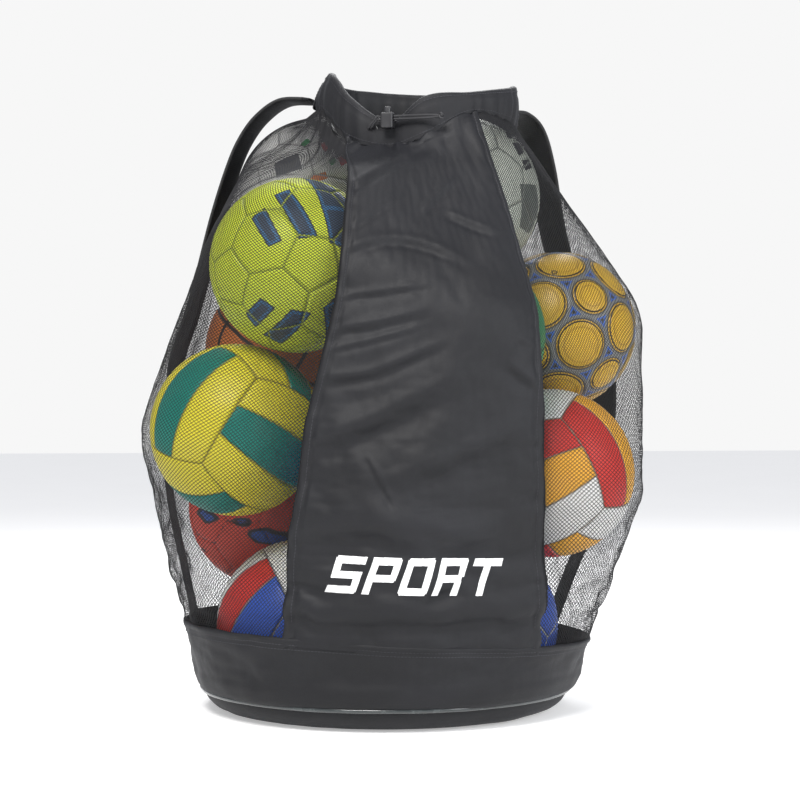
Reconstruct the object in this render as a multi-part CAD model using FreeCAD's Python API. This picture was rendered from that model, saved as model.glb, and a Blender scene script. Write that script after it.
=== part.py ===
import FreeCAD, Part
import math
import os

from FreeCAD import Vector

# A drawstring ball bag that stands on its base, full of balls.
# Millimetres. The origin is the centre of the underside, +Z is up and the solid front panel faces -Y.
# A heading is an angle in degrees seen from above: 0 is the front, 90 is +X and 180 is the back.

# ---- base ----
BASE_RADIUS = 229.0
BASE_CONTACT_RADIUS = 188.0
BASE_SHEET = 3.0
PIPING_HEIGHT = 27.0
PIPING_RADIUS = 2.8

# ---- body ----
BAND_HEIGHT = 104.0
BAND_LEAN = 12.0
BALL_CLEARANCE = 2.6
BALL_EASE = 0.5
TAPE_SHEET = 0.8
CLOTH_SHEET = 2.0
NET_SHEET = 1.5
LAYER_GAP = 1.6
SEAM_GAP = 0.4
SEAM_GAP_ANGLE = 0.3
TAPE_WIDTH = 14.0
TAPE_SHARE = 0.9

# ---- collar ----
COLLAR_CENTRE = (40.0, 8.0)
COLLAR_RADIUS = 125.0
COLLAR_SHEET = 1.6
TUNNEL_WIDTH = 5.0
CORD_DEPTH = 3.1
CORD_HEADING = -25.0
CORD_DENT = 12.0
CORD_DENT_SPREAD = 14.0

# ---- draw cord, eyelet and cord lock ----
CORD_RADIUS = 1.5
CORD_PITCH = 3.4
CORD_TAIL = 62.0
EYELET_HEADING = -36.0
EYELET_HOLE = (9.0, 5.0)
EYELET_RIM = 2.8
EYELET_SHEET = 0.7
EYELET_BARREL_WALL = 0.6
LOCK_WIDTH = 15.0
LOCK_DEPTH = 12.0
LOCK_LOW = -13.0
LOCK_HIGH = 6.5
LOCK_STANDOFF = 13.0
BORE_HALF_HEIGHT = 3.5
BORE_HALF_DEPTH = 2.2
BUTTON_RADIUS = 4.3
BUTTON_CLEARANCE = 0.25
BUTTON_PROUD = 7.0
BUTTON_TRAVEL = 3.5
WELL_FLOOR = 1.5
SPRING_RADIUS = 2.6
SPRING_WIRE = 0.4
SPRING_TURNS = 3

# ---- straps ----
PAD_WIDTH = 50.0
PAD_SHEET = 7.0
WEB_WIDTH = 25.0
WEB_SHEET = 2.0
WEB_TAIL = 80.0
PAD_END_RISES = (92.0, 50.0)
WEB_DEPTH = 9.0
PATCH_WIDTH = 64.0
PATCH_SHEET = 2.0
TAB_WIDTH = 36.0
TAB_HEIGHT = 24.0
TAB_SHEET = 5.0
TAB_GAP = 2.6
TAB_LEAN = 8.0
ADJUSTER_WIDTH = 36.0
ADJUSTER_HEIGHT = 22.0
ADJUSTER_RAIL = 3.6
ADJUSTER_GAP = 9.0
ADJUSTER_LOOP = 3.0

# Each ball: centre and radius.
BALLS = {
    "ball_handball_yellow": ((-124, -111, 545), 105.0),
    "ball_volley_teal": ((-194, -78, 348), 104.5),
    "ball_volley_tricolour": ((-112, -52, 109), 104.5),
    "ball_football_gold": ((217, -19, 473), 99.0),
    "ball_volley_red": ((186, -113, 295), 103.0),
    "ball_blue": ((98, -75, 109), 104.5),
    "ball_white_right": ((86, -41, 636), 101.5),
    "ball_white_left": ((-76, 88, 643), 103.0),
    "ball_green": ((64, -156, 460), 104.5),
    "ball_basketball": ((-111, 168, 449), 108.0),
    "ball_red": ((-139, 107, 245), 104.5),
    "ball_back_low": ((21, 121, 109), 104.5),
    "ball_front_mid": ((-17, -157, 265), 104.5),
    "ball_back_up": ((88, 133, 520), 104.5),
    "ball_small": ((165, 95, 230), 80.0),
}
BALL_WALL = 2.6

# The front panel's side seams: height, and x of the left and right seam.
PANEL_SEAMS = [
    (60.0, -152.0, 158.0),
    (240.0, -141.0, 152.0),
    (370.0, -124.0, 148.0),
    (500.0, -92.0, 141.0),
    (610.0, -76.0, 122.0),
    (760.0, -46.0, 92.0),
]

# The collar hangs in waves: heading, height of its bottom seam and height of its rim.
COLLAR_DRAPE = [
    (-149.0, 753.0, 790.0),
    (-109.0, 753.0, 789.0),
    (-74.0, 744.0, 789.0),
    (-50.0, 704.0, 752.0),
    (-25.0, 692.0, 721.0),
    (-4.0, 704.0, 750.0),
    (22.0, 734.0, 757.0),
    (51.0, 733.0, 768.0),
    (86.0, 728.0, 782.0),
    (131.0, 738.0, 785.0),
    (171.0, 748.0, 788.0),
]

# Each strap lies in an upright plane through the middle of the collar. "foot" is the heading of its
# foot on the base band. The other values are places in that plane, as distance out from the collar
# and height: the adjuster, the pad's middle line above it and the webbing's middle line below it.
STRAPS = {
    "left": {
        "foot": -118.0,
        "hold": (205.6, 305.0),
        "pad": [
            (3, 768), (44, 768), (76, 748), (99, 718), (116, 680),
            (136, 620), (155, 550), (173, 490), (191, 440),
        ],
        "web": [(182, 170), (197, 235)],
    },
    "right": {
        "foot": 114.0,
        "hold": (190.6, 305.0),
        "pad": [
            (3, 758), (32, 758), (58, 738), (76, 690),
            (96, 600), (128, 520), (162, 460), (180, 430),
        ],
        "web": [(122, 150), (160, 220)],
    },
}

# ---- how finely the cloth is drawn ----
HEIGHT_STEP = 8.0
HEADING_STEP = 2.5
HEADING_REACH = 20
SEAM_SEARCH = 24
BACK = 179.9
ROWS = 38
PANEL_COLUMNS = 25
NET_COLUMNS = 31
TAPE_COLUMNS = 4
BAND_ROWS = 7
BAND_COLUMNS = 73
COLLAR_ROWS = 4
COLLAR_COLUMNS = 91
PATCH_COLUMNS = 7
MEAN_SEAM_HEIGHT = 730.0
TAPE_MEAN_RADIUS = 235.0
PANEL_LAYER = BALL_CLEARANCE + TAPE_SHEET + LAYER_GAP


def outward(heading):
    angle = math.radians(heading)
    return math.sin(angle), -math.cos(angle)


def wrapped(heading):
    return (heading + 180.0) % 360.0 - 180.0


def periodic(table, column, heading):
    """Smooth periodic value from rows of (heading, value, value)."""
    count = len(table)
    heading = wrapped(heading)
    spot = count - 1
    for index in range(count):
        if heading >= table[index][0]:
            spot = index
    if heading < table[0][0]:
        spot = count - 1
    before, here, after, beyond = (table[(spot + k) % count] for k in (-1, 0, 1, 2))
    span = (after[0] - here[0]) % 360.0
    t = ((heading - here[0]) % 360.0) / span
    slope_here = (after[column] - before[column]) / ((after[0] - before[0]) % 360.0) * span
    slope_after = (beyond[column] - here[column]) / ((beyond[0] - here[0]) % 360.0) * span
    return (
        (2 * t**3 - 3 * t**2 + 1) * here[column]
        + (t**3 - 2 * t**2 + t) * slope_here
        + (3 * t**2 - 2 * t**3) * after[column]
        + (t**3 - t**2) * slope_after
    )


def between(table, column, value):
    """Straight-line value from rows that rise in their first column."""
    value = min(max(value, table[0][0]), table[-1][0])
    for low, high in zip(table, table[1:]):
        if value <= high[0]:
            share = (value - low[0]) / (high[0] - low[0])
            return low[column] + share * (high[column] - low[column])
    return table[-1][column]


# ---------------------------------------------------------------- the collar's and the body's shape


def collar_seam(heading):
    return periodic(COLLAR_DRAPE, 1, heading)


def collar_rim(heading):
    return periodic(COLLAR_DRAPE, 2, heading)


def collar_radius(heading):
    away = wrapped(heading - CORD_HEADING) / CORD_DENT_SPREAD
    return COLLAR_RADIUS - CORD_DENT * math.exp(-away * away)


def collar_point(heading, radial, height):
    across, along = outward(heading)
    radius = collar_radius(heading) + radial
    return Vector(COLLAR_CENTRE[0] + radius * across, COLLAR_CENTRE[1] + radius * along, height)


def band_top(heading):
    return BAND_HEIGHT - BAND_LEAN * math.sin(math.radians(heading))


def pushed_out(heading, height, clear):
    """How far the balls push a sheet out along a heading, measured square to the heading."""
    across, along = outward(heading)
    reach = -1.0
    for (x, y, z), radius in BALLS.values():
        square = (radius + clear) ** 2 - (height - z) ** 2
        if square > 0:
            reach = max(reach, x * across + y * along + math.sqrt(square))
    return reach


def taut_profile(heading, clear):
    """Points (height, reach) of the sheet pulled tight over the balls from the base to the collar."""
    across, along = outward(heading)
    slack = clear - BALL_CLEARANCE
    bottom = (PIPING_HEIGHT, BASE_RADIUS + slack)
    centre = COLLAR_CENTRE[0] * across + COLLAR_CENTRE[1] * along
    top = (collar_seam(heading), centre + collar_radius(heading) + slack)
    points = [bottom]
    height = PIPING_HEIGHT + HEIGHT_STEP
    while height < top[0] - 1.0:
        points.append((height, pushed_out(heading, height, clear)))
        height += HEIGHT_STEP
    points.append(top)
    hull = []
    for point in points:
        while len(hull) > 1 and is_below(hull[-2], hull[-1], point):
            hull.pop()
        hull.append(point)
    return hull


def is_below(start, middle, end):
    rise = (end[1] - start[1]) * (middle[0] - start[0]) / (end[0] - start[0])
    return middle[1] <= start[1] + rise


PROFILES = {}


def square_reach(step, height, clear):
    key = (step, clear)
    if key not in PROFILES:
        PROFILES[key] = taut_profile(wrapped(step * HEADING_STEP), clear)
    reach = between(PROFILES[key], 1, height)
    if height > PROFILES[key][-1][0]:
        reach = max(reach, pushed_out(step * HEADING_STEP, height, clear))
    return reach


def skin_radius(heading, height, clear):
    """Distance from the axis to the tight sheet."""
    middle = int(round(heading / HEADING_STEP))
    turns = int(360 / HEADING_STEP)
    best = 1e9
    for offset in range(-HEADING_REACH, HEADING_REACH + 1):
        step = middle + offset
        lean = math.cos(math.radians(step * HEADING_STEP - heading))
        best = min(best, square_reach(step % turns, height, clear) / lean)
    return best


def skin_point(heading, height, clear):
    radius = skin_radius(heading, height, clear)
    across, along = outward(heading)
    return Vector(radius * across, radius * along, height)


def seam_heading(height, x):
    """Heading at which the tight sheet crosses a given x on the front."""
    low, high = -85.0, 85.0
    for _ in range(SEAM_SEARCH):
        middle = 0.5 * (low + high)
        if skin_radius(middle, height, BALL_CLEARANCE) * math.sin(math.radians(middle)) < x:
            low = middle
        else:
            high = middle
    return 0.5 * (low + high)


# ---------------------------------------------------------------- sheets


def grid_face(rows):
    surface = Part.BSplineSurface()
    surface.interpolate(rows)
    return surface


def closed_sheet(inner, outer):
    """Solid between two grids of points of the same size."""
    faces = [grid_face(inner), grid_face(outer)]
    shapes = [face.toShape() for face in faces]
    sides = []
    for pick in (
        lambda s: s.uIso(s.bounds()[0]),
        lambda s: s.uIso(s.bounds()[1]),
        lambda s: s.vIso(s.bounds()[0]),
        lambda s: s.vIso(s.bounds()[1]),
    ):
        edges = [pick(face).toShape() for face in faces]
        sides.append(Part.makeRuledSurface(edges[0], edges[1]))
    shell = Part.makeShell(shapes + sides)
    shell.sewShape(0.01)
    shell = shell.Shells[0]
    solid = Part.Solid(shell)
    if solid.Volume < 0:
        solid.reverse()
    return solid


def steps(low, high, count):
    return [low + (high - low) * index / (count - 1) for index in range(count)]


def closing_steps(count):
    """From 0 to 1, closer together near 1, where the sheet turns in to the collar."""
    return [1.0 - (1.0 - index / (count - 1)) ** 1.35 for index in range(count)]


def panel_side(side, height):
    column = 1 if side == "left" else 2
    return seam_heading(height, between(PANEL_SEAMS, column, height))


def body_sheet(start, end, layer, sheet, columns, share=1.0):
    """Sheet between two heading functions of height, from the band up a share of the way to the collar."""
    grids = []
    for clear in (layer, layer + sheet):
        grid = []
        for u in steps(0.0, 1.0, columns):
            line = []
            for v in closing_steps(ROWS):
                rough = BAND_HEIGHT + v * share * (MEAN_SEAM_HEIGHT - BAND_HEIGHT)
                heading = start(rough) + u * (end(rough) - start(rough))
                low = band_top(heading) + SEAM_GAP
                high = collar_seam(collar_heading(heading)) - SEAM_GAP
                line.append(skin_point(heading, low + v * share * (high - low), clear))
            grid.append(line)
        grids.append(grid)
    return closed_sheet(*grids)


def collar_heading(heading):
    """Heading about the collar's own centre of the collar point that lies on a heading of the bag."""
    across, along = outward(heading)
    x, y = COLLAR_CENTRE
    drop = x * across + y * along
    reach = drop + math.sqrt(drop * drop - x * x - y * y + COLLAR_RADIUS**2)
    return math.degrees(math.atan2(reach * across - x, y - reach * along))


def left_seam(height):
    return panel_side("left", height)


def right_seam(height):
    return panel_side("right", height)


def front_panel():
    return body_sheet(
        lambda height: left_seam(height) + SEAM_GAP_ANGLE,
        lambda height: right_seam(height) - SEAM_GAP_ANGLE,
        PANEL_LAYER,
        CLOTH_SHEET,
        PANEL_COLUMNS,
    )


def net_left():
    return body_sheet(
        lambda height: -BACK,
        lambda height: left_seam(height) - SEAM_GAP_ANGLE,
        PANEL_LAYER,
        NET_SHEET,
        NET_COLUMNS,
    )


def net_right():
    return body_sheet(
        lambda height: right_seam(height) + SEAM_GAP_ANGLE,
        lambda height: BACK,
        PANEL_LAYER,
        NET_SHEET,
        NET_COLUMNS,
    )


def seam_tape(middle):
    """Tape behind a seam; middle gives the seam's heading at a height. It stops below the gathers."""
    half = math.degrees(0.5 * TAPE_WIDTH / TAPE_MEAN_RADIUS)
    return body_sheet(
        lambda height: middle(height) - half,
        lambda height: middle(height) + half,
        BALL_CLEARANCE,
        TAPE_SHEET,
        TAPE_COLUMNS,
        TAPE_SHARE,
    )


def base_band():
    grids = []
    for clear in (PANEL_LAYER, PANEL_LAYER + CLOTH_SHEET):
        grid = []
        for heading in steps(-BACK, BACK, BAND_COLUMNS):
            low = PIPING_HEIGHT + PIPING_RADIUS + 1.0
            high = band_top(heading)
            heights = steps(low, high, BAND_ROWS)
            grid.append([skin_point(heading, height, clear) for height in heights])
        grids.append(grid)
    return closed_sheet(*grids)


def band_facing():
    """Tape inside the seam that joins the base band to the panels."""
    grids = []
    for clear in (BALL_CLEARANCE, BALL_CLEARANCE + TAPE_SHEET):
        grid = []
        for heading in steps(-BACK, BACK, BAND_COLUMNS):
            middle = band_top(heading)
            heights = steps(middle - 2.4 * TAPE_WIDTH, middle - TAPE_WIDTH / 2, 3)
            grid.append([skin_point(heading, height, clear) for height in heights])
        grids.append(grid)
    return closed_sheet(*grids)


def base_disc():
    """Round bottom cloth: flat where it rests, turned up to the piping at its edge."""
    edge = BASE_RADIUS - PIPING_RADIUS - 1.2
    rise = PIPING_HEIGHT
    out = edge - BASE_CONTACT_RADIUS
    under = Part.Arc(
        Vector(BASE_CONTACT_RADIUS, 0, 0),
        Vector(BASE_CONTACT_RADIUS + 0.76 * out, 0, 0.32 * rise),
        Vector(edge, 0, rise),
    )
    over = Part.Arc(
        Vector(edge - BASE_SHEET, 0, rise),
        Vector(BASE_CONTACT_RADIUS + 0.76 * out - 0.8 * BASE_SHEET, 0, 0.32 * rise + 0.8 * BASE_SHEET),
        Vector(BASE_CONTACT_RADIUS, 0, BASE_SHEET),
    )
    edges = [
        Part.makeLine(Vector(0, 0, 0), Vector(BASE_CONTACT_RADIUS, 0, 0)),
        under.toShape(),
        Part.makeLine(Vector(edge, 0, rise), Vector(edge - BASE_SHEET, 0, rise)),
        over.toShape(),
        Part.makeLine(Vector(BASE_CONTACT_RADIUS, 0, BASE_SHEET), Vector(0, 0, BASE_SHEET)),
        Part.makeLine(Vector(0, 0, BASE_SHEET), Vector(0, 0, 0)),
    ]
    face = Part.Face(Part.Wire(edges))
    return face.revolve(Vector(0, 0, 0), Vector(0, 0, 1), 360)


def base_piping():
    return Part.makeTorus(BASE_RADIUS, PIPING_RADIUS, Vector(0, 0, PIPING_HEIGHT))


# ---------------------------------------------------------------- collar, cord and eyelet


def collar_ring(radial, sheet):
    grids = []
    for offset in (radial, radial + sheet):
        grid = []
        for heading in steps(-BACK, BACK, COLLAR_COLUMNS):
            low = collar_seam(heading) + SEAM_GAP
            high = collar_rim(heading)
            heights = steps(low, high, COLLAR_ROWS)
            grid.append([collar_point(heading, offset, height) for height in heights])
        grids.append(grid)
    return closed_sheet(*grids)


def collar_outer():
    return collar_ring(0.0, COLLAR_SHEET).cut(eyelet_cut())


def tunnel_height(heading):
    """Height of the cord inside the collar."""
    return 0.45 * collar_seam(heading) + 0.55 * collar_rim(heading)


def collar_facing(heading):
    """Heading that the collar's cloth faces: its dent turns it away from the radial direction."""
    run = collar_point(heading + 1.0, 0, 0) - collar_point(heading - 1.0, 0, 0)
    return math.degrees(math.atan2(run.y, run.x))


def eyelet_place():
    return collar_point(EYELET_HEADING, COLLAR_SHEET, tunnel_height(EYELET_HEADING))


def oval(grow, front, sheet):
    """Oval plate about the eyelet's hole, grown all round; its outer face is at -front in Y."""
    half = 0.5 * (EYELET_HOLE[0] - EYELET_HOLE[1])
    radius = 0.5 * EYELET_HOLE[1] + grow
    plate = Part.makeBox(2 * half, sheet, 2 * radius, Vector(-half, -front, -radius))
    for side in (-half, half):
        end = Part.makeCylinder(radius, sheet, Vector(side, -front, 0), Vector(0, 1, 0))
        plate = plate.fuse(end)
    return plate.removeSplitter()


def stand_at(shape, place, heading):
    shape.rotate(Vector(0, 0, 0), Vector(0, 0, 1), heading)
    shape.translate(place)
    return shape


def eyelet_cut():
    """Hole through the collar for the eyelet's barrel."""
    return stand_at(oval(EYELET_BARREL_WALL + 0.2, 3.0, 6.0), eyelet_place(), collar_facing(EYELET_HEADING))


def eyelet():
    """Pressed oval eyelet: a rim outside the cloth and a barrel through it."""
    rim = oval(EYELET_RIM, 0.15 + EYELET_SHEET, EYELET_SHEET)
    barrel = oval(EYELET_BARREL_WALL, 0.15 + EYELET_SHEET, 3.4)
    body = rim.fuse(barrel).cut(oval(0.0, 5.0, 10.0)).removeSplitter()
    return stand_at(body, eyelet_place(), collar_facing(EYELET_HEADING))


def eyelet_washer():
    """Ring behind the cloth that the eyelet's barrel is rolled over."""
    front = -COLLAR_SHEET - 0.4
    ring = oval(EYELET_RIM - 0.4, front, 0.6).cut(oval(EYELET_BARREL_WALL + 0.1, front + 1.0, 4.0))
    return stand_at(ring, eyelet_place(), collar_facing(EYELET_HEADING))


def lock_place():
    """Middle of the cord lock: on the cords, in the dip of the collar."""
    spot = collar_point(CORD_HEADING, LOCK_STANDOFF, 0)
    return Vector(spot.x, spot.y, collar_rim(CORD_HEADING) + 4.0)


def cord_direction():
    angle = math.radians(CORD_HEADING)
    return Vector(math.cos(angle), math.sin(angle), 0)


def cord_path(side):
    """Corners of one cord tail, from inside the collar out of the eyelet and through the lock."""
    lift = Vector(0, 0, side * CORD_PITCH / 2)
    across, along = outward(collar_facing(EYELET_HEADING))
    normal = Vector(across, along, 0)
    eye = eyelet_place()
    row = Vector(-along, across, 0)
    sideways = row * (-side * CORD_PITCH / 2)
    lock = lock_place()
    run = cord_direction()
    return [
        eye + sideways - normal * (COLLAR_SHEET + CORD_DEPTH),
        eye + sideways + normal * 3.5,
        lock + lift - run * 10.0,
        lock + lift + run * CORD_TAIL,
    ]


def swept(points, radius):
    """Round cord along a smooth curve."""
    curve = Part.BSplineCurve()
    curve.interpolate(points)
    start = curve.value(curve.FirstParameter)
    direction = curve.tangent(curve.FirstParameter)[0]
    section = Part.Wire(Part.makeCircle(radius, start, direction))
    return Part.Wire(curve.toShape()).makePipeShell([section], True, False)


def jointed(points, radius):
    """Round cord along straight runs with round corners."""
    solids = []
    for start, end in zip(points, points[1:]):
        run = end - start
        solids.append(Part.makeCylinder(radius, run.Length, start, run))
    for corner in points[1:-1]:
        solids.append(Part.makeSphere(radius, corner))
    return solids[0].multiFuse(solids[1:])


def cord_loop():
    """The draw cord's loop inside the collar, open at the eyelet."""
    spread = math.degrees((0.5 * CORD_PITCH + CORD_RADIUS + 1.2) / COLLAR_RADIUS)
    loop = []
    for heading in steps(EYELET_HEADING + spread, EYELET_HEADING + 360.0 - spread, BAND_COLUMNS):
        loop.append(collar_point(heading, -CORD_DEPTH, tunnel_height(heading)))
    return swept(loop, CORD_RADIUS)


def cord_tails():
    """The draw cord's two ends, out through the eyelet and the cord lock."""
    tails = [jointed(cord_path(side), CORD_RADIUS) for side in (1, -1)]
    return Part.makeCompound(tails)


def cord_knot():
    """The knot that ties the two tails together."""
    place = lock_place() + cord_direction() * (CORD_TAIL + 5.0)
    knot = Part.makeSphere(5.0, place)
    return knot


def lock_frame(shape):
    return stand_at(shape, lock_place(), CORD_HEADING)


def cord_passage(low, high):
    """Slot along the cords, between two heights."""
    length = LOCK_WIDTH + 20.0
    corner = Vector(-length / 2, -BORE_HALF_DEPTH, low)
    return Part.makeBox(length, 2 * BORE_HALF_DEPTH, high - low, corner)


def lock_body():
    corner = Vector(-LOCK_WIDTH / 2, -LOCK_DEPTH / 2, LOCK_LOW)
    body = Part.makeBox(LOCK_WIDTH, LOCK_DEPTH, LOCK_HIGH - LOCK_LOW, corner)
    body = body.makeFillet(2.0, body.Edges)
    body = body.cut(cord_passage(-BORE_HALF_HEIGHT, BORE_HALF_HEIGHT))
    floor = LOCK_LOW + WELL_FLOOR
    well = Part.makeCylinder(BUTTON_RADIUS + BUTTON_CLEARANCE, 40.0, Vector(0, 0, floor))
    return lock_frame(body.cut(well))


def button_low():
    return -BORE_HALF_HEIGHT - 1.5


def lock_button():
    """Plunger: its window clamps the cords against the top of the body's bore."""
    low = button_low()
    high = LOCK_HIGH + BUTTON_PROUD
    stem = Part.makeCylinder(BUTTON_RADIUS, high - low, Vector(0, 0, low))
    top_edges = [edge for edge in stem.Edges if edge.BoundBox.ZMin > high - 0.1]
    stem = stem.makeFillet(1.4, top_edges)
    window = cord_passage(-BORE_HALF_HEIGHT, BORE_HALF_HEIGHT + BUTTON_TRAVEL + 0.2)
    return lock_frame(stem.cut(window))


def lock_spring():
    low = LOCK_LOW + WELL_FLOOR + SPRING_WIRE + 0.1
    rise = button_low() - SPRING_WIRE - 0.1 - low
    helix = Part.makeHelix(rise / SPRING_TURNS, rise, SPRING_RADIUS)
    section = Part.Wire(Part.makeCircle(SPRING_WIRE, Vector(SPRING_RADIUS, 0, 0), Vector(0, 1, 0)))
    coil = Part.Wire(helix).makePipeShell([section], True, True)
    coil.translate(Vector(0, 0, low))
    return lock_frame(coil)


# ---------------------------------------------------------------- straps


def strap_frame(side):
    """Top end, foot and outward direction of a strap's plane; the top end stands off the patch."""
    heading = STRAPS[side]["foot"]
    foot = skin_point(heading, band_top(heading) - 14.0, PANEL_LAYER + CLOTH_SHEET)
    run = Vector(foot.x - COLLAR_CENTRE[0], foot.y - COLLAR_CENTRE[1], 0)
    run.normalize()
    top = collar_point(strap_top(side), COLLAR_SHEET + PATCH_SHEET + 2.0, STRAPS[side]["pad"][0][1])
    return top, foot, run


def strap_top(side):
    """Heading of a strap's top end about the collar's centre."""
    heading = STRAPS[side]["foot"]
    foot = skin_point(heading, band_top(heading) - 14.0, PANEL_LAYER + CLOTH_SHEET)
    return math.degrees(math.atan2(foot.x - COLLAR_CENTRE[0], COLLAR_CENTRE[1] - foot.y))


def strap_place(side, distance, height, across=0.0):
    top, _, run = strap_frame(side)
    x = top.x + run.x * distance - run.y * across
    y = top.y + run.y * distance + run.x * across
    return Vector(x, y, height)


def foot_distance(side):
    top, foot, run = strap_frame(side)
    return (foot - Vector(top.x, top.y, foot.z)).dot(run)


def smooth_line(points, count):
    """Evenly spaced samples (place, normal) on a smooth curve through points in a strap's plane."""
    curve = Part.BSplineCurve()
    curve.interpolate([Vector(x, 0, z) for x, z in points])
    samples = []
    for place in curve.toShape().discretize(count):
        tangent = curve.tangent(curve.parameter(place))[0]
        samples.append((place, Vector(-tangent.z, 0, tangent.x)))
    return samples


def ribbon(side, samples, width, sheet):
    """Strip of cloth about samples of its middle line, in a strap's plane."""
    curves = []
    for shift in (-sheet / 2, sheet / 2):
        line = [place + normal * shift for place, normal in samples]
        curve = Part.BSplineCurve()
        curve.interpolate([strap_place(side, p.x, p.z, -width / 2) for p in line])
        curves.append(curve)
    edges = [curve.toShape() for curve in curves]
    starts = Part.makeLine(curves[0].StartPoint, curves[1].StartPoint)
    ends = Part.makeLine(curves[0].EndPoint, curves[1].EndPoint)
    face = Part.Face(Part.Wire(Part.__sortEdges__(edges + [starts, ends])))
    run = strap_frame(side)[2]
    return face.extrude(Vector(-run.y, run.x, 0) * width)


def web_foot(side):
    """Where the webbing turns at the top of its tab, in the strap's plane."""
    foot = strap_frame(side)[1]
    return Vector(foot_distance(side) + TAB_GAP + TAB_LEAN + TAB_SHEET / 2, 0, foot.z + 1.0)


def web_hold(side):
    """Where the webbing passes through the adjuster, in the strap's plane; it runs upright there."""
    distance, height = STRAPS[side]["hold"]
    return Vector(distance, 0, height)


def strap_webbing(side):
    foot = web_foot(side)
    hold = web_hold(side)
    points = [(foot.x + 0.2, foot.z + 1.6)] + STRAPS[side]["web"]
    points += [(hold.x, hold.z - 12.0), (hold.x, hold.z), (hold.x, hold.z + WEB_TAIL)]
    return ribbon(side, smooth_line(points, 30), WEB_WIDTH, WEB_SHEET)


def strap_pad(side):
    hold = web_hold(side)
    middle = hold.x - WEB_DEPTH
    low = hold.z + ADJUSTER_HEIGHT - 1.0
    points = STRAPS[side]["pad"] + [(middle, hold.z + rise) for rise in PAD_END_RISES]
    points.append((middle, low))
    return ribbon(side, smooth_line(points, 48), PAD_WIDTH, PAD_SHEET)


def plane_block(side, corner, along, deep, width):
    """Block in a strap's plane: a parallelogram from a corner, spread evenly to both sides."""
    points = [corner, corner + along, corner + along + deep, corner + deep, corner]
    outline = [strap_place(side, p.x, p.z, -width / 2) for p in points]
    run = strap_frame(side)[2]
    return Part.Face(Part.makePolygon(outline)).extrude(Vector(-run.y, run.x, 0) * width)


def strap_adjuster(side):
    """Plastic adjuster under the pad's end: a slotted plate and a loop that the webbing slides through."""
    hold = web_hold(side)
    up = Vector(0, 0, 1)
    out = Vector(1, 0, 0)
    window = ADJUSTER_WIDTH - 2 * ADJUSTER_RAIL
    near = hold - out * (ADJUSTER_GAP / 2 + ADJUSTER_RAIL) - up * ADJUSTER_LOOP / 2
    tall = up * (ADJUSTER_HEIGHT - 3.5)
    plate = plane_block(side, near, tall, out * ADJUSTER_RAIL, ADJUSTER_WIDTH)
    slot = plane_block(side, near - out * 2.0 + up * 9.5, up * 5.0, out * 10.0, window)
    across = out * (ADJUSTER_GAP + 2 * ADJUSTER_RAIL)
    loop = plane_block(side, near, up * ADJUSTER_LOOP, across, ADJUSTER_WIDTH)
    inside = near + out * ADJUSTER_RAIL - up * 5.0
    opening = plane_block(side, inside, up * 15.0, out * ADJUSTER_GAP, window)
    return plate.cut(slot).fuse(loop.cut(opening)).removeSplitter()


def strap_patch(side):
    """Cloth patch that holds the strap's top end to the collar."""
    heading = strap_top(side)
    half = math.degrees(0.5 * PATCH_WIDTH / COLLAR_RADIUS)
    grids = []
    for offset in (COLLAR_SHEET + 0.3, COLLAR_SHEET + 0.3 + PATCH_SHEET):
        grid = []
        for around in steps(heading - half, heading + half, PATCH_COLUMNS):
            low = collar_seam(around) + 2.0
            high = collar_rim(around) - 3.0
            heights = steps(low, high, COLLAR_ROWS)
            grid.append([collar_point(around, offset, height) for height in heights])
        grids.append(grid)
    return closed_sheet(*grids)


def strap_tab(side):
    """Folded cloth tab on the base band that holds the foot of the webbing."""
    foot = strap_frame(side)[1]
    corner = Vector(foot_distance(side) + TAB_GAP, 0, foot.z - TAB_HEIGHT)
    return plane_block(side, corner, Vector(TAB_LEAN, 0, TAB_HEIGHT), Vector(TAB_SHEET, 0, 0), TAB_WIDTH)


# ---------------------------------------------------------------- balls


def ball(name):
    centre, reach = BALLS[name]
    # The cloth is drawn over the full reach; the ball itself is a little smaller, so it lies clear of it.
    radius = reach - BALL_EASE
    skin = Part.makeSphere(radius, Vector(*centre))
    return skin.cut(Part.makeSphere(radius - BALL_WALL, Vector(*centre)))


NODES = {
    "base_disc": base_disc,
    "base_piping": base_piping,
    "base_band": base_band,
    "band_facing": band_facing,
    "front_panel": front_panel,
    "net_left": net_left,
    "net_right": net_right,
    "seam_tape_left": lambda: seam_tape(left_seam),
    "seam_tape_right": lambda: seam_tape(right_seam),
    "seam_tape_back": lambda: seam_tape(lambda height: 180.0),
    "collar_outer": collar_outer,
    "collar_lining": lambda: collar_ring(-TUNNEL_WIDTH - COLLAR_SHEET, COLLAR_SHEET),
    "drawcord_loop": cord_loop,
    "drawcord_tails": cord_tails,
    "cord_knot": cord_knot,
    "eyelet": eyelet,
    "eyelet_washer": eyelet_washer,
    "cord_lock_body": lock_body,
    "cord_lock_button": lock_button,
    "cord_lock_spring": lock_spring,
}
for strap_side in STRAPS:
    NODES["strap_patch_" + strap_side] = lambda side=strap_side: strap_patch(side)
    NODES["strap_pad_" + strap_side] = lambda side=strap_side: strap_pad(side)
    NODES["strap_adjuster_" + strap_side] = lambda side=strap_side: strap_adjuster(side)
    NODES["strap_webbing_" + strap_side] = lambda side=strap_side: strap_webbing(side)
    NODES["strap_tab_" + strap_side] = lambda side=strap_side: strap_tab(side)
for ball_name in BALLS:
    NODES[ball_name] = lambda name=ball_name: ball(name)


def main():
    os.makedirs("parts", exist_ok=True)
    for name, make in NODES.items():
        shape = make()
        shape.exportStep(os.path.join("parts", name + ".step"))


if __name__ == "__main__":
    main()
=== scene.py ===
import itertools
import math

import bmesh
import bpy
import numpy as np
from mathutils import Euler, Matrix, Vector
from mathutils.bvhtree import BVHTree


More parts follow.
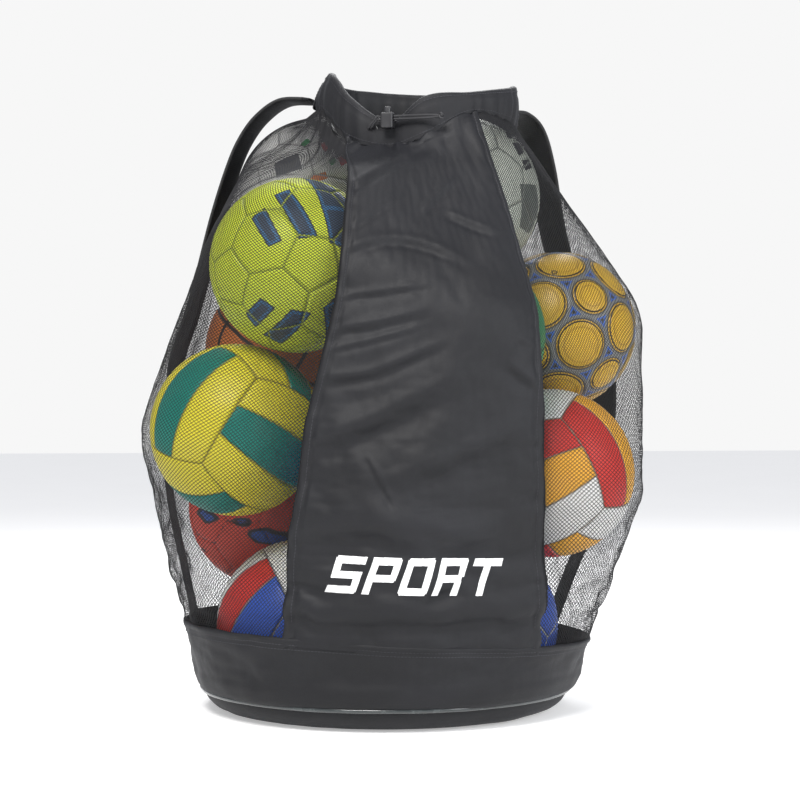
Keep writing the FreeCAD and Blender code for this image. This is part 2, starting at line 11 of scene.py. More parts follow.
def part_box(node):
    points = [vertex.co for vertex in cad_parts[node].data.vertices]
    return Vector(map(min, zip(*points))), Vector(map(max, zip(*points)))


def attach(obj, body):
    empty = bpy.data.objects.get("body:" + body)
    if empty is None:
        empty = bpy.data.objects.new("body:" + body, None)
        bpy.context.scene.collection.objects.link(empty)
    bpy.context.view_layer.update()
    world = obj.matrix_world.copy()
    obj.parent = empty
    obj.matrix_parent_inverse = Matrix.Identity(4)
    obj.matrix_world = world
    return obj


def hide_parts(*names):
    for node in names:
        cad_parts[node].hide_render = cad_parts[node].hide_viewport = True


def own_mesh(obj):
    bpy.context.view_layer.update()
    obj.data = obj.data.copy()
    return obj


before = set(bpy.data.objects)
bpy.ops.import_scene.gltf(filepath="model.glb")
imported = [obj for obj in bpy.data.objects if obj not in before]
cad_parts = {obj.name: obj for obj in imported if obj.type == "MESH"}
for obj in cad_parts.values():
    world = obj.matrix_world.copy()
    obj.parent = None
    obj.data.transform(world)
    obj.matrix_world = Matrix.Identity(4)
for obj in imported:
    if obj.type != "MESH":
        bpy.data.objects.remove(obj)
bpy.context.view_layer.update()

# Metres. A heading is an angle seen from above: 0 is the front (-Y) and 90 degrees is +X.

# ---- the bag's measures, as in the CAD frame ----
BASE_RADIUS = 0.229
BASE_CONTACT_RADIUS = 0.188
PIPING_HEIGHT = 0.027
PIPING_RADIUS = 0.0028
BAND_HEIGHT = 0.104
BAND_LEAN = 0.012
COLLAR_CENTRE = (0.040, 0.008)
COLLAR_RADIUS = 0.125
CORD_HEADING = -25.0
CORD_DENT = 0.012
CORD_DENT_SPREAD = 14.0
EYELET_HEADING = -36.0
LOCK_HEADING = -8.0
LOCK_SPREAD = 34.0
LOBE_HEADING = -92.0
LOBE_LEAN = 0.014
LOBE_SPREAD = 26.0
PANEL_SEAMS = np.array([
    (0.060, -0.152, 0.158),
    (0.240, -0.141, 0.152),
    (0.370, -0.124, 0.148),
    (0.500, -0.092, 0.141),
    (0.610, -0.076, 0.122),
    (0.760, -0.046, 0.092),
])
COLLAR_DRAPE = [
    (-149.0, 0.753, 0.790),
    (-109.0, 0.753, 0.789),
    (-74.0, 0.744, 0.789),
    (-50.0, 0.704, 0.752),
    (-25.0, 0.692, 0.721),
    (-4.0, 0.704, 0.750),
    (22.0, 0.734, 0.757),
    (51.0, 0.733, 0.768),
    (86.0, 0.728, 0.782),
    (131.0, 0.738, 0.785),
    (171.0, 0.748, 0.788),
]

SPRING_TURNS = 3
SPRING_RADIUS = 0.0026
SPRING_WIRE = 0.0004
CORD_RADIUS = 0.0015
TAIL_RADIUS = 0.00134
KNOT_RADIUS = 0.0026
BAND_SHEET = 0.0018
PANEL_SHEET = 0.0016
BASE_SHEET = 0.0025
BASE_PUFF = 0.0035

# ---- how finely the cloth is drawn ----
COLUMNS = 288
ROWS = 132
SIM_STEPS = 32
SIM_GRAVITY = 0.00003
SIM_SAG = 0.008
SIM_SAG_BAND = 0.0015
SIM_DAMPING = 0.92
SIM_PASSES = 3
SIM_BALL_GAP = 0.0032
SIM_BALL_NEAR = 0.05
NET_PITCH = 0.0040
NET_WIDTH = 0.00084
NET_HEIGHT = 0.0003


# ---------------------------------------------------------------- mesh helpers


def make_mesh(name, points, faces, material, body="root", smooth=True):
    """Mesh object from numpy points and an array of triangles or quads."""
    points = np.asarray(points, np.float32).reshape(-1, 3)
    faces = np.asarray(faces, np.int32)
    mesh = bpy.data.meshes.new(name)
    mesh.vertices.add(len(points))
    mesh.vertices.foreach_set("co", points.ravel())
    corners = faces.shape[1]
    mesh.loops.add(faces.size)
    mesh.loops.foreach_set("vertex_index", faces.ravel())
    mesh.polygons.add(len(faces))
    mesh.polygons.foreach_set("loop_start", np.arange(0, faces.size, corners, dtype=np.int32))
    mesh.polygons.foreach_set("loop_total", np.full(len(faces), corners, np.int32))
    mesh.polygons.foreach_set("use_smooth", np.full(len(faces), smooth))
    mesh.update(calc_edges=True)
    mesh.validate()
    mesh.materials.append(material)
    thing = bpy.data.objects.new(name, mesh)
    bpy.context.scene.collection.objects.link(thing)
    if body:
        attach(thing, body)
    return thing


def grid_faces(across, up, wrap_across=False, wrap_up=False, start=0):
    """Quads of a grid whose point (i, j) has the number start + i * up + j."""
    i = np.arange(across if wrap_across else across - 1)
    j = np.arange(up if wrap_up else up - 1)
    i, j = (a.ravel() for a in np.meshgrid(i, j, indexing="ij"))
    k, m = (i + 1) % across, (j + 1) % up
    return start + np.stack([i * up + j, k * up + j, k * up + m, i * up + m], 1)


def sheet_mesh(name, outer, inner, material, body="root", wrap=False):
    """Closed sheet between two grids (across, up, 3); outer is the face that is seen."""
    across, up = outer.shape[:2]
    count = across * up
    faces = [grid_faces(across, up, wrap), grid_faces(across, up, wrap, start=count)[:, ::-1]]
    i = np.arange(across if wrap else across - 1)
    k = (i + 1) % across
    for j, flip in ((0, False), (up - 1, True)):
        side = np.stack([i * up + j, count + i * up + j, count + k * up + j, k * up + j], 1)
        faces.append(side[:, ::-1] if flip else side)
    if not wrap:
        j = np.arange(up - 1)
        for i, flip in ((0, True), (across - 1, False)):
            base = i * up + j
            side = np.stack([base, count + base, count + base + 1, base + 1], 1)
            faces.append(side[:, ::-1] if flip else side)
    points = np.concatenate([outer.reshape(-1, 3), inner.reshape(-1, 3)])
    return make_mesh(name, points, np.concatenate(faces), material, body)


def unit(v):
    return v / np.maximum(np.linalg.norm(v, axis=-1, keepdims=True), 1e-12)


def bell(x):
    """1 at zero, falling smoothly to nothing at about 2 on either side."""
    return np.exp(-(x**2))


def within_turn(headings):
    """Headings in radians, brought to -pi..pi."""
    return (headings + math.pi) % (2 * math.pi) - math.pi


def degrees_from(heading, middle):
    """Degrees from one heading to another, -180..180."""
    return (heading - middle + 180.0) % 360.0 - 180.0


def stand_for(thing, slot, *nodes):
    """The piece is shown instead of CAD nodes, which are hidden; the slot is not used."""
    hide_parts(*nodes)


def box_middle(node):
    low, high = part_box(node)
    return np.array((low + high) / 2)


def frames_along(line, closed=False, hint=None):
    """Tangent, normal and side vectors along a line of points."""
    if closed:
        tangent = unit(np.roll(line, -1, 0) - np.roll(line, 1, 0))
    else:
        tangent = unit(np.gradient(line, axis=0))
    if hint is None:
        hint = np.tile(np.array([0.0, 0.0, 1.0]), (len(line), 1))
    side = np.cross(tangent, hint)
    weak = np.linalg.norm(side, axis=1) < 0.2
    side[weak] = np.cross(tangent[weak], np.array([1.0, 0.0, 0.0]))
    side = unit(side)
    normal = np.cross(side, tangent)
    return tangent, normal, side


def tube(name, line, radius, material, body="root", closed=False, around=10, hint=None, shape=None):
    """Tube along a line; shape is an optional function (t, angle) that scales the radius."""
    line = np.asarray(line, float)
    _, normal, side = frames_along(line, closed, hint)
    angle = np.linspace(0, 2 * math.pi, around, endpoint=False)
    radius = np.broadcast_to(np.asarray(radius, float), (len(line),))
    scale = np.ones((len(line), around))
    if shape:
        t = np.linspace(0, 1, len(line))
        scale = shape(t[:, None], angle[None, :])
    ring = (
        np.cos(angle)[None, :, None] * side[:, None] + np.sin(angle)[None, :, None] * normal[:, None]
    )
    points = line[:, None] + ring * (radius[:, None] * scale)[..., None]
    faces = grid_faces(len(line), around, closed, True)
    points = points.reshape(-1, 3)
    if not closed:
        ends = np.stack([line[0], line[-1]])
        count = len(points)
        points = np.concatenate([points, ends])
        j = np.arange(around)
        k = (j + 1) % around
        last = (len(line) - 1) * around
        cap_a = np.stack([np.full(around, count), j, k, k], 1)
        cap_b = np.stack([np.full(around, count + 1), last + k, last + j, last + j], 1)
        cap = np.concatenate([cap_a, cap_b])[:, :3]
        thing = make_mesh(name, points, faces, material, body)
        add_faces(thing, cap)
        return thing
    return make_mesh(name, points, faces, material, body)


def add_faces(thing, triangles=()):
    """Adds triangles, then turns all the faces outwards."""
    work = bmesh.new()
    work.from_mesh(thing.data)
    work.verts.ensure_lookup_table()
    for a, b, c in triangles:
        face = work.faces.new([work.verts[int(a)], work.verts[int(b)], work.verts[int(c)]])
        face.smooth = True
    bmesh.ops.recalc_face_normals(work, faces=work.faces)
    work.to_mesh(thing.data)
    work.free()


def float_attribute(thing, name, values):
    attribute = thing.data.attributes.new(name, "FLOAT", "POINT")
    attribute.data.foreach_set("value", np.asarray(values, np.float32))


# ---------------------------------------------------------------- noise


NOISE_VALUES = 4096
HASH_PRIMES = (73856093, 19349663, 83492791)


def value_noise(points, scale, seed):
    """Smooth noise in about -1..1 at points (N, 3), with features of 1/scale metres."""
    gen = np.random.default_rng(seed)
    table = gen.uniform(-1, 1, NOISE_VALUES)
    q = np.asarray(points, float) * scale + gen.uniform(0, 50, 3)
    cell = np.floor(q).astype(int)
    f = q - cell
    f = f * f * (3 - 2 * f)
    total = 0.0
    for corner in itertools.product((0, 1), repeat=3):
        key, weight = 0, 1.0
        for axis, (step, prime) in enumerate(zip(corner, HASH_PRIMES)):
            key = key ^ (cell[..., axis] + step) * prime
            weight = weight * (f[..., axis] if step else 1 - f[..., axis])
        total = total + weight * table[key % NOISE_VALUES]
    return total


# ---------------------------------------------------------------- materials


class Nodes:
    """Short names for building one node material."""

    def __init__(self, name):
        self.material = bpy.data.materials.new(name)
        self.material.use_nodes = True
        self.tree = self.material.node_tree
        self.shader = self.tree.nodes["Principled BSDF"]
        self.coords = None

    def link(self, a, b):
        self.tree.links.new(a, b)

    def set(self, socket, value):
        if hasattr(value, "is_output"):
            self.link(value, socket)
        elif isinstance(value, (tuple, list)) and len(value) == 3 and socket.type == "RGBA":
            socket.default_value = (*value, 1.0)
        else:
            socket.default_value = value

    def position(self):
        if self.coords is None:
            self.coords = self.tree.nodes.new("ShaderNodeTexCoord").outputs["Object"]
        return self.coords

    def noise(self, scale, detail=3.0, stretch=None):
        node = self.tree.nodes.new("ShaderNodeTexNoise")
        node.inputs["Scale"].default_value = scale
        node.inputs["Detail"].default_value = detail
        vector = self.position()
        if stretch:
            mapping = self.tree.nodes.new("ShaderNodeMapping")
            mapping.inputs["Scale"].default_value = stretch
            self.link(vector, mapping.inputs["Vector"])
            vector = mapping.outputs["Vector"]
        self.link(vector, node.inputs["Vector"])
        return node.outputs["Fac"]

    def wave(self, scale, direction, distortion=0.0):
        node = self.tree.nodes.new("ShaderNodeTexWave")
        node.bands_direction = direction
        node.inputs["Scale"].default_value = scale
        node.inputs["Distortion"].default_value = distortion
        self.link(self.position(), node.inputs["Vector"])
        return node.outputs["Fac"]

    def math(self, kind, a, b=0.0):
        node = self.tree.nodes.new("ShaderNodeMath")
        node.operation = kind
        self.set(node.inputs[0], a)
        self.set(node.inputs[1], b)
        return node.outputs[0]

    def field(self, name, output="Fac"):
        node = self.tree.nodes.new("ShaderNodeAttribute")
        node.attribute_name = name
        return node.outputs[output]

    def ramp(self, value, low, high, out_low=0.0, out_high=1.0):
        node = self.tree.nodes.new("ShaderNodeMapRange")
        node.interpolation_type = "SMOOTHSTEP"
        self.set(node.inputs["Value"], value)
        node.inputs["From Min"].default_value = low
        node.inputs["From Max"].default_value = high
        node.inputs["To Min"].default_value = out_low
        node.inputs["To Max"].default_value = out_high
        return node.outputs["Result"]

    def under(self, value, low, high):
        """1 where the value is under low, falling to 0 at high."""
        return self.ramp(value, low, high, 1.0, 0.0)

    def mix(self, factor, a, b):
        node = self.tree.nodes.new("ShaderNodeMix")
        node.data_type = "RGBA"
        self.set(node.inputs[0], factor)
        self.set(node.inputs[6], a)
        self.set(node.inputs[7], b)
        return node.outputs[2]

    def bump(self, height, distance, strength=1.0, over=None):
        node = self.tree.nodes.new("ShaderNodeBump")
        node.inputs["Strength"].default_value = strength
        node.inputs["Distance"].default_value = distance
        self.link(height, node.inputs["Height"])
        if over is not None:
            self.link(over, node.inputs["Normal"])
        return node.outputs["Normal"]

    def finish(self, colour, roughness, normal=None, **extra):
        self.set(self.shader.inputs["Base Color"], colour)
        self.set(self.shader.inputs["Roughness"], roughness)
        if normal is not None:
            self.link(normal, self.shader.inputs["Normal"])
        for key, value in extra.items():
            self.set(self.shader.inputs[key.replace("_", " ")], value)
        return self.material


def woven(name, colour, pale, roughness=0.55, thread=0.0011, depth=0.00010, sheen=0.02, coat=0.0):
    """Plain-woven synthetic cloth: crossing threads, slow shade changes and a soft sheen."""
    n = Nodes(name)
    scale = 1.0 / thread / 3.2
    over = n.wave(scale, "X")
    under = n.wave(scale, "Z")
    weave = n.math("MULTIPLY", over, under)
    grain = n.noise(900.0, 2.0)
    shade = n.noise(7.0, 4.0)
    height = n.math("ADD", n.math("MULTIPLY", weave, 0.8), n.math("MULTIPLY", grain, 0.5))
    normal = n.bump(height, depth, 0.9)
    tone = n.mix(n.ramp(shade, 0.3, 0.75), colour, pale)
    tone = n.mix(n.math("MULTIPLY", n.ramp(weave, 0.2, 0.9), 0.25), tone, pale)
    rough = n.ramp(grain, 0.2, 0.8, roughness - 0.06, roughness + 0.08)
    return n.finish(
        tone, rough, normal,
        Sheen_Weight=sheen, Sheen_Roughness=0.4, Sheen_Tint=(0.75, 0.8, 0.95), Coat_Weight=coat,
        Specular_IOR_Level=0.32,
    )


def plain_plastic(name, colour, roughness, grain_depth=0.00006, coat=0.0):
    n = Nodes(name)
    grain = n.noise(1400.0, 2.0)
    wear = n.noise(60.0, 4.0)
    normal = n.bump(grain, grain_depth, 0.6)
    lighter = tuple(min(1.0, c * 1.5 + 0.01) for c in colour)
    tone = n.mix(n.ramp(wear, 0.45, 0.75), colour, lighter)
    rough = n.ramp(wear, 0.3, 0.8, roughness - 0.05, roughness + 0.1)
    return n.finish(tone, rough, normal, Coat_Weight=coat)


def metal(name, colour, roughness):
    n = Nodes(name)
    scratch = n.noise(700.0, 3.0, (1.0, 1.0, 8.0))
    normal = n.bump(scratch, 0.00003, 0.5)
    tone = n.mix(n.ramp(scratch, 0.4, 0.8), colour, tuple(c * 0.75 for c in colour))
    rough = n.ramp(scratch, 0.3, 0.8, roughness, roughness + 0.12)
    return n.finish(tone, rough, normal, Metallic=1.0)


def webbing_material(name, colour, pale):
    n = Nodes(name)
    ribs = n.wave(420.0, "Z")
    grain = n.noise(1100.0, 2.0)
    height = n.math("ADD", ribs, n.math("MULTIPLY", grain, 0.4))
    normal = n.bump(height, 0.0002, 0.8)
    tone = n.mix(n.ramp(ribs, 0.2, 0.9), colour, pale)
    return n.finish(tone, 0.7, normal, Sheen_Weight=0.03)


MATERIALS = {
    "shell": woven("cloth_shell", (0.0052, 0.0054, 0.0068), (0.0086, 0.0089, 0.0112), 0.60, depth=0.00014),
    "panel": woven("cloth_panel", (0.0052, 0.0054, 0.0070), (0.0086, 0.0090, 0.0115), 0.58, depth=0.00014),
    "net": woven("cord_net", (0.0045, 0.0045, 0.0055), (0.010, 0.010, 0.012), 0.7, depth=0.00005, sheen=0.0),
    "binding": woven("tape_binding", (0.008, 0.008, 0.009), (0.014, 0.014, 0.016), 0.75),
    "piping": plain_plastic("piping_plastic", (0.020, 0.026, 0.027), 0.22, coat=0.5),
    "webbing": webbing_material("strap_webbing_weave", (0.007, 0.007, 0.008), (0.016, 0.016, 0.018)),
    "pad": woven(
        "cloth_pad", (0.009, 0.0093, 0.011), (0.018, 0.0185, 0.021), 0.7, thread=0.0022, depth=0.0003
    ),
    "cord": woven(
        "cord_braid", (0.010, 0.010, 0.012), (0.035, 0.035, 0.038), 0.6, thread=0.0014, depth=0.0003
    ),
    "thread": woven("sewing_thread", (0.020, 0.020, 0.024), (0.05, 0.05, 0.058), 0.6),
    "nickel": metal("nickel_plate", (0.72, 0.71, 0.68), 0.22),
    "spring": metal("spring_wire", (0.5, 0.5, 0.52), 0.3),
    "lock": plain_plastic("lock_plastic", (0.014, 0.014, 0.016), 0.4),
    "print": plain_plastic("print_ink", (0.80, 0.80, 0.80), 0.5),
    "valve": plain_plastic("valve_rubber", (0.02, 0.02, 0.02), 0.6),
}


# ---------------------------------------------------------------- collar curves


def periodic(table, column, heading):
    """Smooth periodic value at one heading in degrees."""
    count = len(table)
    heading = degrees_from(heading, 0.0)
    spot = count - 1
    for index in range(count):
        if heading >= table[index][0]:
            spot = index
    before, here, after, beyond = (table[(spot + k) % count] for k in (-1, 0, 1, 2))
    span = (after[0] - here[0]) % 360.0
    t = ((heading - here[0]) % 360.0) / span
    slope_here = (after[column] - before[column]) / ((after[0] - before[0]) % 360.0) * span
    slope_after = (beyond[column] - here[column]) / ((beyond[0] - here[0]) % 360.0) * span
    return (
        (2 * t**3 - 3 * t**2 + 1) * here[column]
        + (t**3 - 2 * t**2 + t) * slope_here
        + (3 * t**2 - 2 * t**3) * after[column]
        + (t**3 - t**2) * slope_after
    )


def drape(column, headings):
    return np.array([periodic(COLLAR_DRAPE, column, h) for h in np.degrees(headings)])


def collar_radius(headings):
    away = degrees_from(np.degrees(headings), CORD_HEADING)
    return COLLAR_RADIUS - CORD_DENT * bell(away / CORD_DENT_SPREAD)


def collar_points(headings, radial, height):
    radius = collar_radius(headings) + radial
    return np.stack(
        [
            COLLAR_CENTRE[0] + radius * np.sin(headings),
            COLLAR_CENTRE[1] - radius * np.cos(headings),
            height + 0 * radius,
        ],
        -1,
    )


def collar_heading(headings):
    """Heading about the collar's centre of the collar point on a heading of the bag."""
    x, y = COLLAR_CENTRE
    drop = x * np.sin(headings) - y * np.cos(headings)
    reach = drop + np.sqrt(drop**2 - x * x - y * y + COLLAR_RADIUS**2)
    return np.arctan2(reach * np.sin(headings) - x, y + reach * np.cos(headings))


def collar_lean(headings):
    """How far the rim of the left lobe leans in towards the mouth."""
    away = degrees_from(np.degrees(headings), LOBE_HEADING)
    return LOBE_LEAN * bell(away / LOBE_SPREAD)


def band_top(headings):
    return BAND_HEIGHT - BAND_LEAN * np.sin(headings)


# ---------------------------------------------------------------- balls: places from the frame

BALL_NAMES = [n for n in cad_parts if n.startswith("ball_")]


def ball_place(name):
    low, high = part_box(name)
    return box_middle(name), (high - low).z / 2


BALLS = {name: ball_place(name) for name in sorted(BALL_NAMES)}


# ---------------------------------------------------------------- the draped skin


def tight_skin():
    """Grid (COLUMNS, ROWS, 3) on the CAD cloth, from the piping up to the collar seam."""
    points, polygons = [], []
    for name in ("front_panel", "net_left", "net_right", "base_band"):
        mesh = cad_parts[name].data
        start = len(points)
        points += [v.co.copy() for v in mesh.vertices]
        polygons += [[start + i for i in p.vertices] for p in mesh.polygons]
    tree = BVHTree.FromPolygons(points, polygons)
    headings = np.linspace(-math.pi, math.pi, COLUMNS, endpoint=False)
    share = 1.0 - (1.0 - np.linspace(0, 1, ROWS)) ** 1.3
    tops = drape(1, collar_heading(headings))
    heights = PIPING_HEIGHT + share[None, :] * (tops[:, None] - PIPING_HEIGHT)
    radius = np.full((COLUMNS, ROWS), np.nan)
    for i, heading in enumerate(headings):
        way = Vector((math.sin(heading), -math.cos(heading), 0.0))
        for j in range(1, ROWS - 1):
            _, _, _, distance = tree.ray_cast(Vector((0, 0, heights[i, j])), way)
            if distance is not None:
                radius[i, j] = distance + 0.001
    radius[:, 0] = BASE_RADIUS
    top = collar_points(collar_heading(headings), 0.0, tops)
    radius[:, -1] = np.hypot(top[:, 0], top[:, 1])
    for i in range(COLUMNS):
        known = ~np.isnan(radius[i])
        radius[i] = np.interp(heights[i], heights[i][known], radius[i][known])
    grid = np.stack(
        [radius * np.sin(headings)[:, None], -radius * np.cos(headings)[:, None], heights], -1
    )
    return headings, grid


def links(columns, rows, di, dj):
    """Index pairs (a, b) of grid neighbours, in groups that share no point."""
    groups = []
    i, j = np.meshgrid(np.arange(columns), np.arange(rows), indexing="ij")
    for parity in (0, 1):
        pick = ((i // di) % 2 == parity) if di else ((j // dj) % 2 == parity)
        pick = pick & (j + dj < rows) & (j + dj >= 0)
        a = (i * rows + j)[pick]
        b = (((i + di) % columns) * rows + j + dj)[pick]
        groups.append((a, b))
    return groups


def settle(grid):
    """Lets the cloth hang on the balls: a little extra length, gravity, and no way into a ball."""
    columns, rows = grid.shape[:2]
    p = grid.reshape(-1, 3).copy()
    noise = value_noise(p, 14.0, 3) * 0.0022 + value_noise(p, 32.0, 4) * 0.0008
    outward = unit(p * np.array([1.0, 1.0, 0.0]))
    free = np.ones((columns, rows, 1))
    free[:, 0] = free[:, -1] = 0.0
    free = free.reshape(-1, 1)
    rest_shape = p.copy()
    p = p + outward * noise[:, None] * free
    fullness = {(1, 0): 1.018, (0, 1): 1.010, (1, 1): 1.016, (1, -1): 1.016, (3, 0): 1.004, (0, 3): 1.003}
    stiffness = {(1, 0): 0.9, (0, 1): 0.9, (1, 1): 0.35, (1, -1): 0.35, (3, 0): 0.30, (0, 3): 0.30}
    springs = []
    for step, extra in fullness.items():
        for a, b in links(columns, rows, *step):
            rest = np.linalg.norm(rest_shape[a] - rest_shape[b], axis=1) * extra
            springs.append((a, b, rest, stiffness[step]))
    hits = []
    for centre, radius in BALLS.values():
        reach = radius + SIM_BALL_GAP
        near = np.nonzero(np.linalg.norm(p - centre, axis=1) < reach + SIM_BALL_NEAR)[0]
        hits.append((near, centre, reach))
    sag = np.where(rest_shape[:, 2] < BAND_HEIGHT + 0.03, SIM_SAG_BAND, SIM_SAG)
    before = p.copy()
    for _ in range(SIM_STEPS):
        speed = (p - before) * SIM_DAMPING
        before = p.copy()
        p = p + (speed + np.array([0.0, 0.0, -SIM_GRAVITY])) * free
        for _ in range(SIM_PASSES):
            for a, b, rest, stiff in springs:
                d = p[b] - p[a]
                length = np.linalg.norm(d, axis=1)
                push = (0.5 * stiff * (length - rest) / np.maximum(length, 1e-9))[:, None] * d
                p[a] += push * free[a]
                p[b] -= push * free[b]
            for near, centre, reach in hits:
                d = p[near] - centre
                length = np.linalg.norm(d, axis=1)
                inside = length < reach
                index = near[inside]
                p[index] += (d[inside] / length[inside, None] * (reach - length[inside, None])) * free[index]
        p[:, 2] = np.clip(p[:, 2], rest_shape[:, 2] - sag, rest_shape[:, 2] + sag)
    grid = p.reshape(columns, rows, 3)
    for _ in range(2):
        around = (np.roll(grid, 1, 0) + np.roll(grid, -1, 0)) / 2
        grid[:, 1:-1] = 0.6 * grid[:, 1:-1] + 0.25 * around[:, 1:-1] + 0.075 * (grid[:, :-2] + grid[:, 2:])
    return grid


def cubic(p0, p1, p2, p3, t):
    return p1 + 0.5 * t * (
        p2 - p0 + t * (2 * p0 - 5 * p1 + 4 * p2 - p3 + t * (3 * (p1 - p2) + p3 - p0))
    )


class Skin:
    """The draped cloth, to be sampled at (heading, row share 0..1)."""

    def __init__(self):
        self.headings, start = tight_skin()
        self.start = start
        self.grid = settle(start)
        along = np.roll(self.grid, -1, 0) - np.roll(self.grid, 1, 0)
        up = np.gradient(self.grid, axis=1)
        self.normals = unit(np.cross(along, up))

    def sample(self, field, heading, share):
        heading = np.asarray(heading, float)
        share = np.asarray(share, float)
        heading, share = np.broadcast_arrays(heading, share)
        i = (heading + math.pi) / (2 * math.pi) * COLUMNS
        j = np.clip(share, 0, 1) * (ROWS - 1)
        i0 = np.floor(i).astype(int)
        j0 = np.minimum(np.floor(j).astype(int), ROWS - 2)
        s, t = (i - i0)[..., None], (j - j0)[..., None]
        lines = []
        for k in (-1, 0, 1, 2):
            column = (i0 + k) % COLUMNS
            taps = [field[column, np.clip(j0 + m, 0, ROWS - 1)] for m in (-1, 0, 1, 2)]
            lines.append(cubic(*taps, t))
        return cubic(*lines, s)

    def at(self, heading, share, offset=0.0):
        point = self.sample(self.grid, heading, share)
        normal = unit(self.sample(self.normals, heading, share))
        return point + normal * np.asarray(offset, float)[..., None]

    def normal(self, heading, share):
        return unit(self.sample(self.normals, heading, share))

    def share_at_height(self, heading, height):
        """Row share at which the tight cloth has a height."""
        heading, height = np.broadcast_arrays(np.asarray(heading, float), np.asarray(height, float))
        flat = []
        for h, z in zip(heading.ravel(), height.ravel()):
            i = int(round((h + math.pi) / (2 * math.pi) * COLUMNS)) % COLUMNS
            flat.append(np.interp(z, self.start[i, :, 2], np.linspace(0, 1, ROWS)))
        return np.array(flat).reshape(heading.shape)

    def seam(self, side, share):
        """Heading of the panel's left (0) or right (1) seam at row shares."""
        share = np.atleast_1d(share)
        front = np.nonzero(np.abs(self.headings) < math.radians(85))[0]
        result = []
        for value in share:
            j = min(int(round(value * (ROWS - 1))), ROWS - 1)
            x = self.start[front, j, 0]
            z = self.start[front, j, 2]
            target = np.interp(z, PANEL_SEAMS[:, 0], PANEL_SEAMS[:, 1 + side])
            gap = x - target
            k = int(np.argmax(gap > 0))
            part = gap[k - 1] / (gap[k - 1] - gap[k])
            result.append(self.headings[front[k - 1]] + part * (2 * math.pi / COLUMNS))
        result = np.array(result)
        if len(result) > 5:
            padded = np.pad(result, 3, mode="edge")
            result = np.convolve(padded, np.ones(7) / 7, mode="valid")
        return result


skin = Skin()


# ---------------------------------------------------------------- stitches


def stitches(name, line, normals, length=0.0030, gap=0.0012, width=0.0007, height=0.0005, body="root"):
    """A row of small raised stitches along a line that lies on cloth."""
    line = np.asarray(line, float)
    run = np.concatenate([[0], np.cumsum(np.linalg.norm(np.diff(line, axis=0), axis=1))])
    starts = np.arange(0, run[-1] - length, length + gap)

    def at(distance, data):
        return np.stack([np.interp(distance, run, data[:, k]) for k in range(3)], -1)

    points, faces = [], []
    profile = ((0.0, 0.2), (0.25, 1.0), (0.75, 1.0), (1.0, 0.2))
    for place, rise in profile:
        centre = at(starts + place * length, line)
        normal = unit(at(starts + place * length, np.asarray(normals)))
        ahead = unit(at(starts + length, line) - at(starts, line))
        side = np.cross(ahead, normal) * width / 2
        points.append(np.stack([centre - side, centre + normal * height * rise, centre + side], 1))
    points = np.stack(points, 1)
    first = np.arange(len(starts)) * len(profile) * 3
    for k in range(len(profile) - 1):
        for m in (0, 1):
            a = first + k * 3 + m
            faces.append(np.stack([a, a + 3, a + 4, a + 1], 1))
    return make_mesh(name, points.reshape(-1, 3), np.concatenate(faces), MATERIALS["thread"], body)


# ---------------------------------------------------------------- tapes


def lay_tape(name, node, headings, shares, outer=-0.0004, inner=-0.0012, wrap=False):
    """Flat binding tape on the skin, between two heights over it."""
    faces = [skin.at(headings, shares, height) for height in (outer, inner)]
    stand_for(sheet_mesh(name, *faces, MATERIALS["binding"], wrap=wrap), "binding", node)


# ---------------------------------------------------------------- base


def build_base():
    headings = np.linspace(-math.pi, math.pi, 240, endpoint=False)
    ring = np.stack([np.sin(headings), -np.cos(headings)], -1)
    edge = BASE_RADIUS - 0.0015
    profile = []
    for t in np.linspace(0, 1, 22):
        profile.append((BASE_CONTACT_RADIUS * t, 0.0))
    for t in np.linspace(0.06, 1, 18):
        angle = t * math.pi / 2
        reach = BASE_CONTACT_RADIUS + (edge - BASE_CONTACT_RADIUS) * math.sin(angle) ** 0.9
        profile.append((reach, (PIPING_HEIGHT - 0.001) * (1 - math.cos(angle)) ** 0.95))
    radius = np.array([r for r, _ in profile])
    height = np.array([z for _, z in profile])
    outer = np.zeros((len(headings), len(profile), 3))
    outer[..., 0] = ring[:, None, 0] * radius
    outer[..., 1] = ring[:, None, 1] * radius
    outer[..., 2] = height
    share = np.clip((radius - BASE_CONTACT_RADIUS) / (edge - BASE_CONTACT_RADIUS), 0, 1)
    puff = np.sin(math.pi * share) * BASE_PUFF
    wave = value_noise(outer * np.array([1.0, 1.0, 0.3]), 20.0, 11)
    pleat = value_noise(outer * np.array([1.0, 1.0, 0.2]), 60.0, 12)
    swell = puff * (0.6 * wave + 0.35 * pleat)
    outer[..., 0] += ring[:, None, 0] * swell
    outer[..., 1] += ring[:, None, 1] * swell
    inner = outer.copy()
    inner[..., 2] += BASE_SHEET
    inner[..., :2] *= (1 - BASE_SHEET / np.maximum(radius, 0.02) * np.sign(share))[None, :, None]
    sheet = sheet_mesh("base_cloth", inner, outer, MATERIALS["shell"], wrap=True)
    stand_for(sheet, "shell_fabric", "base_disc")

    line = skin.at(headings, 0.0)
    line[:, :2] *= 1.011
    wobble = 1.0 + 0.04 * np.sin(headings * 9) + 0.03 * np.sin(headings * 23 + 1)
    pipe = tube("base_piping_cord", line, PIPING_RADIUS * wobble, MATERIALS["piping"], closed=True, around=12)
    stand_for(pipe, "piping", "base_piping")
    flange = line.copy()
    flange[:, 2] += 0.0048
    flange[:, :2] *= 0.997
    normals = np.concatenate([ring, np.zeros((len(ring), 1))], 1)
    closed = np.append(np.arange(len(headings)), 0)
    row = stitches("stitch_piping", (flange + normals * 0.002)[closed], normals[closed])


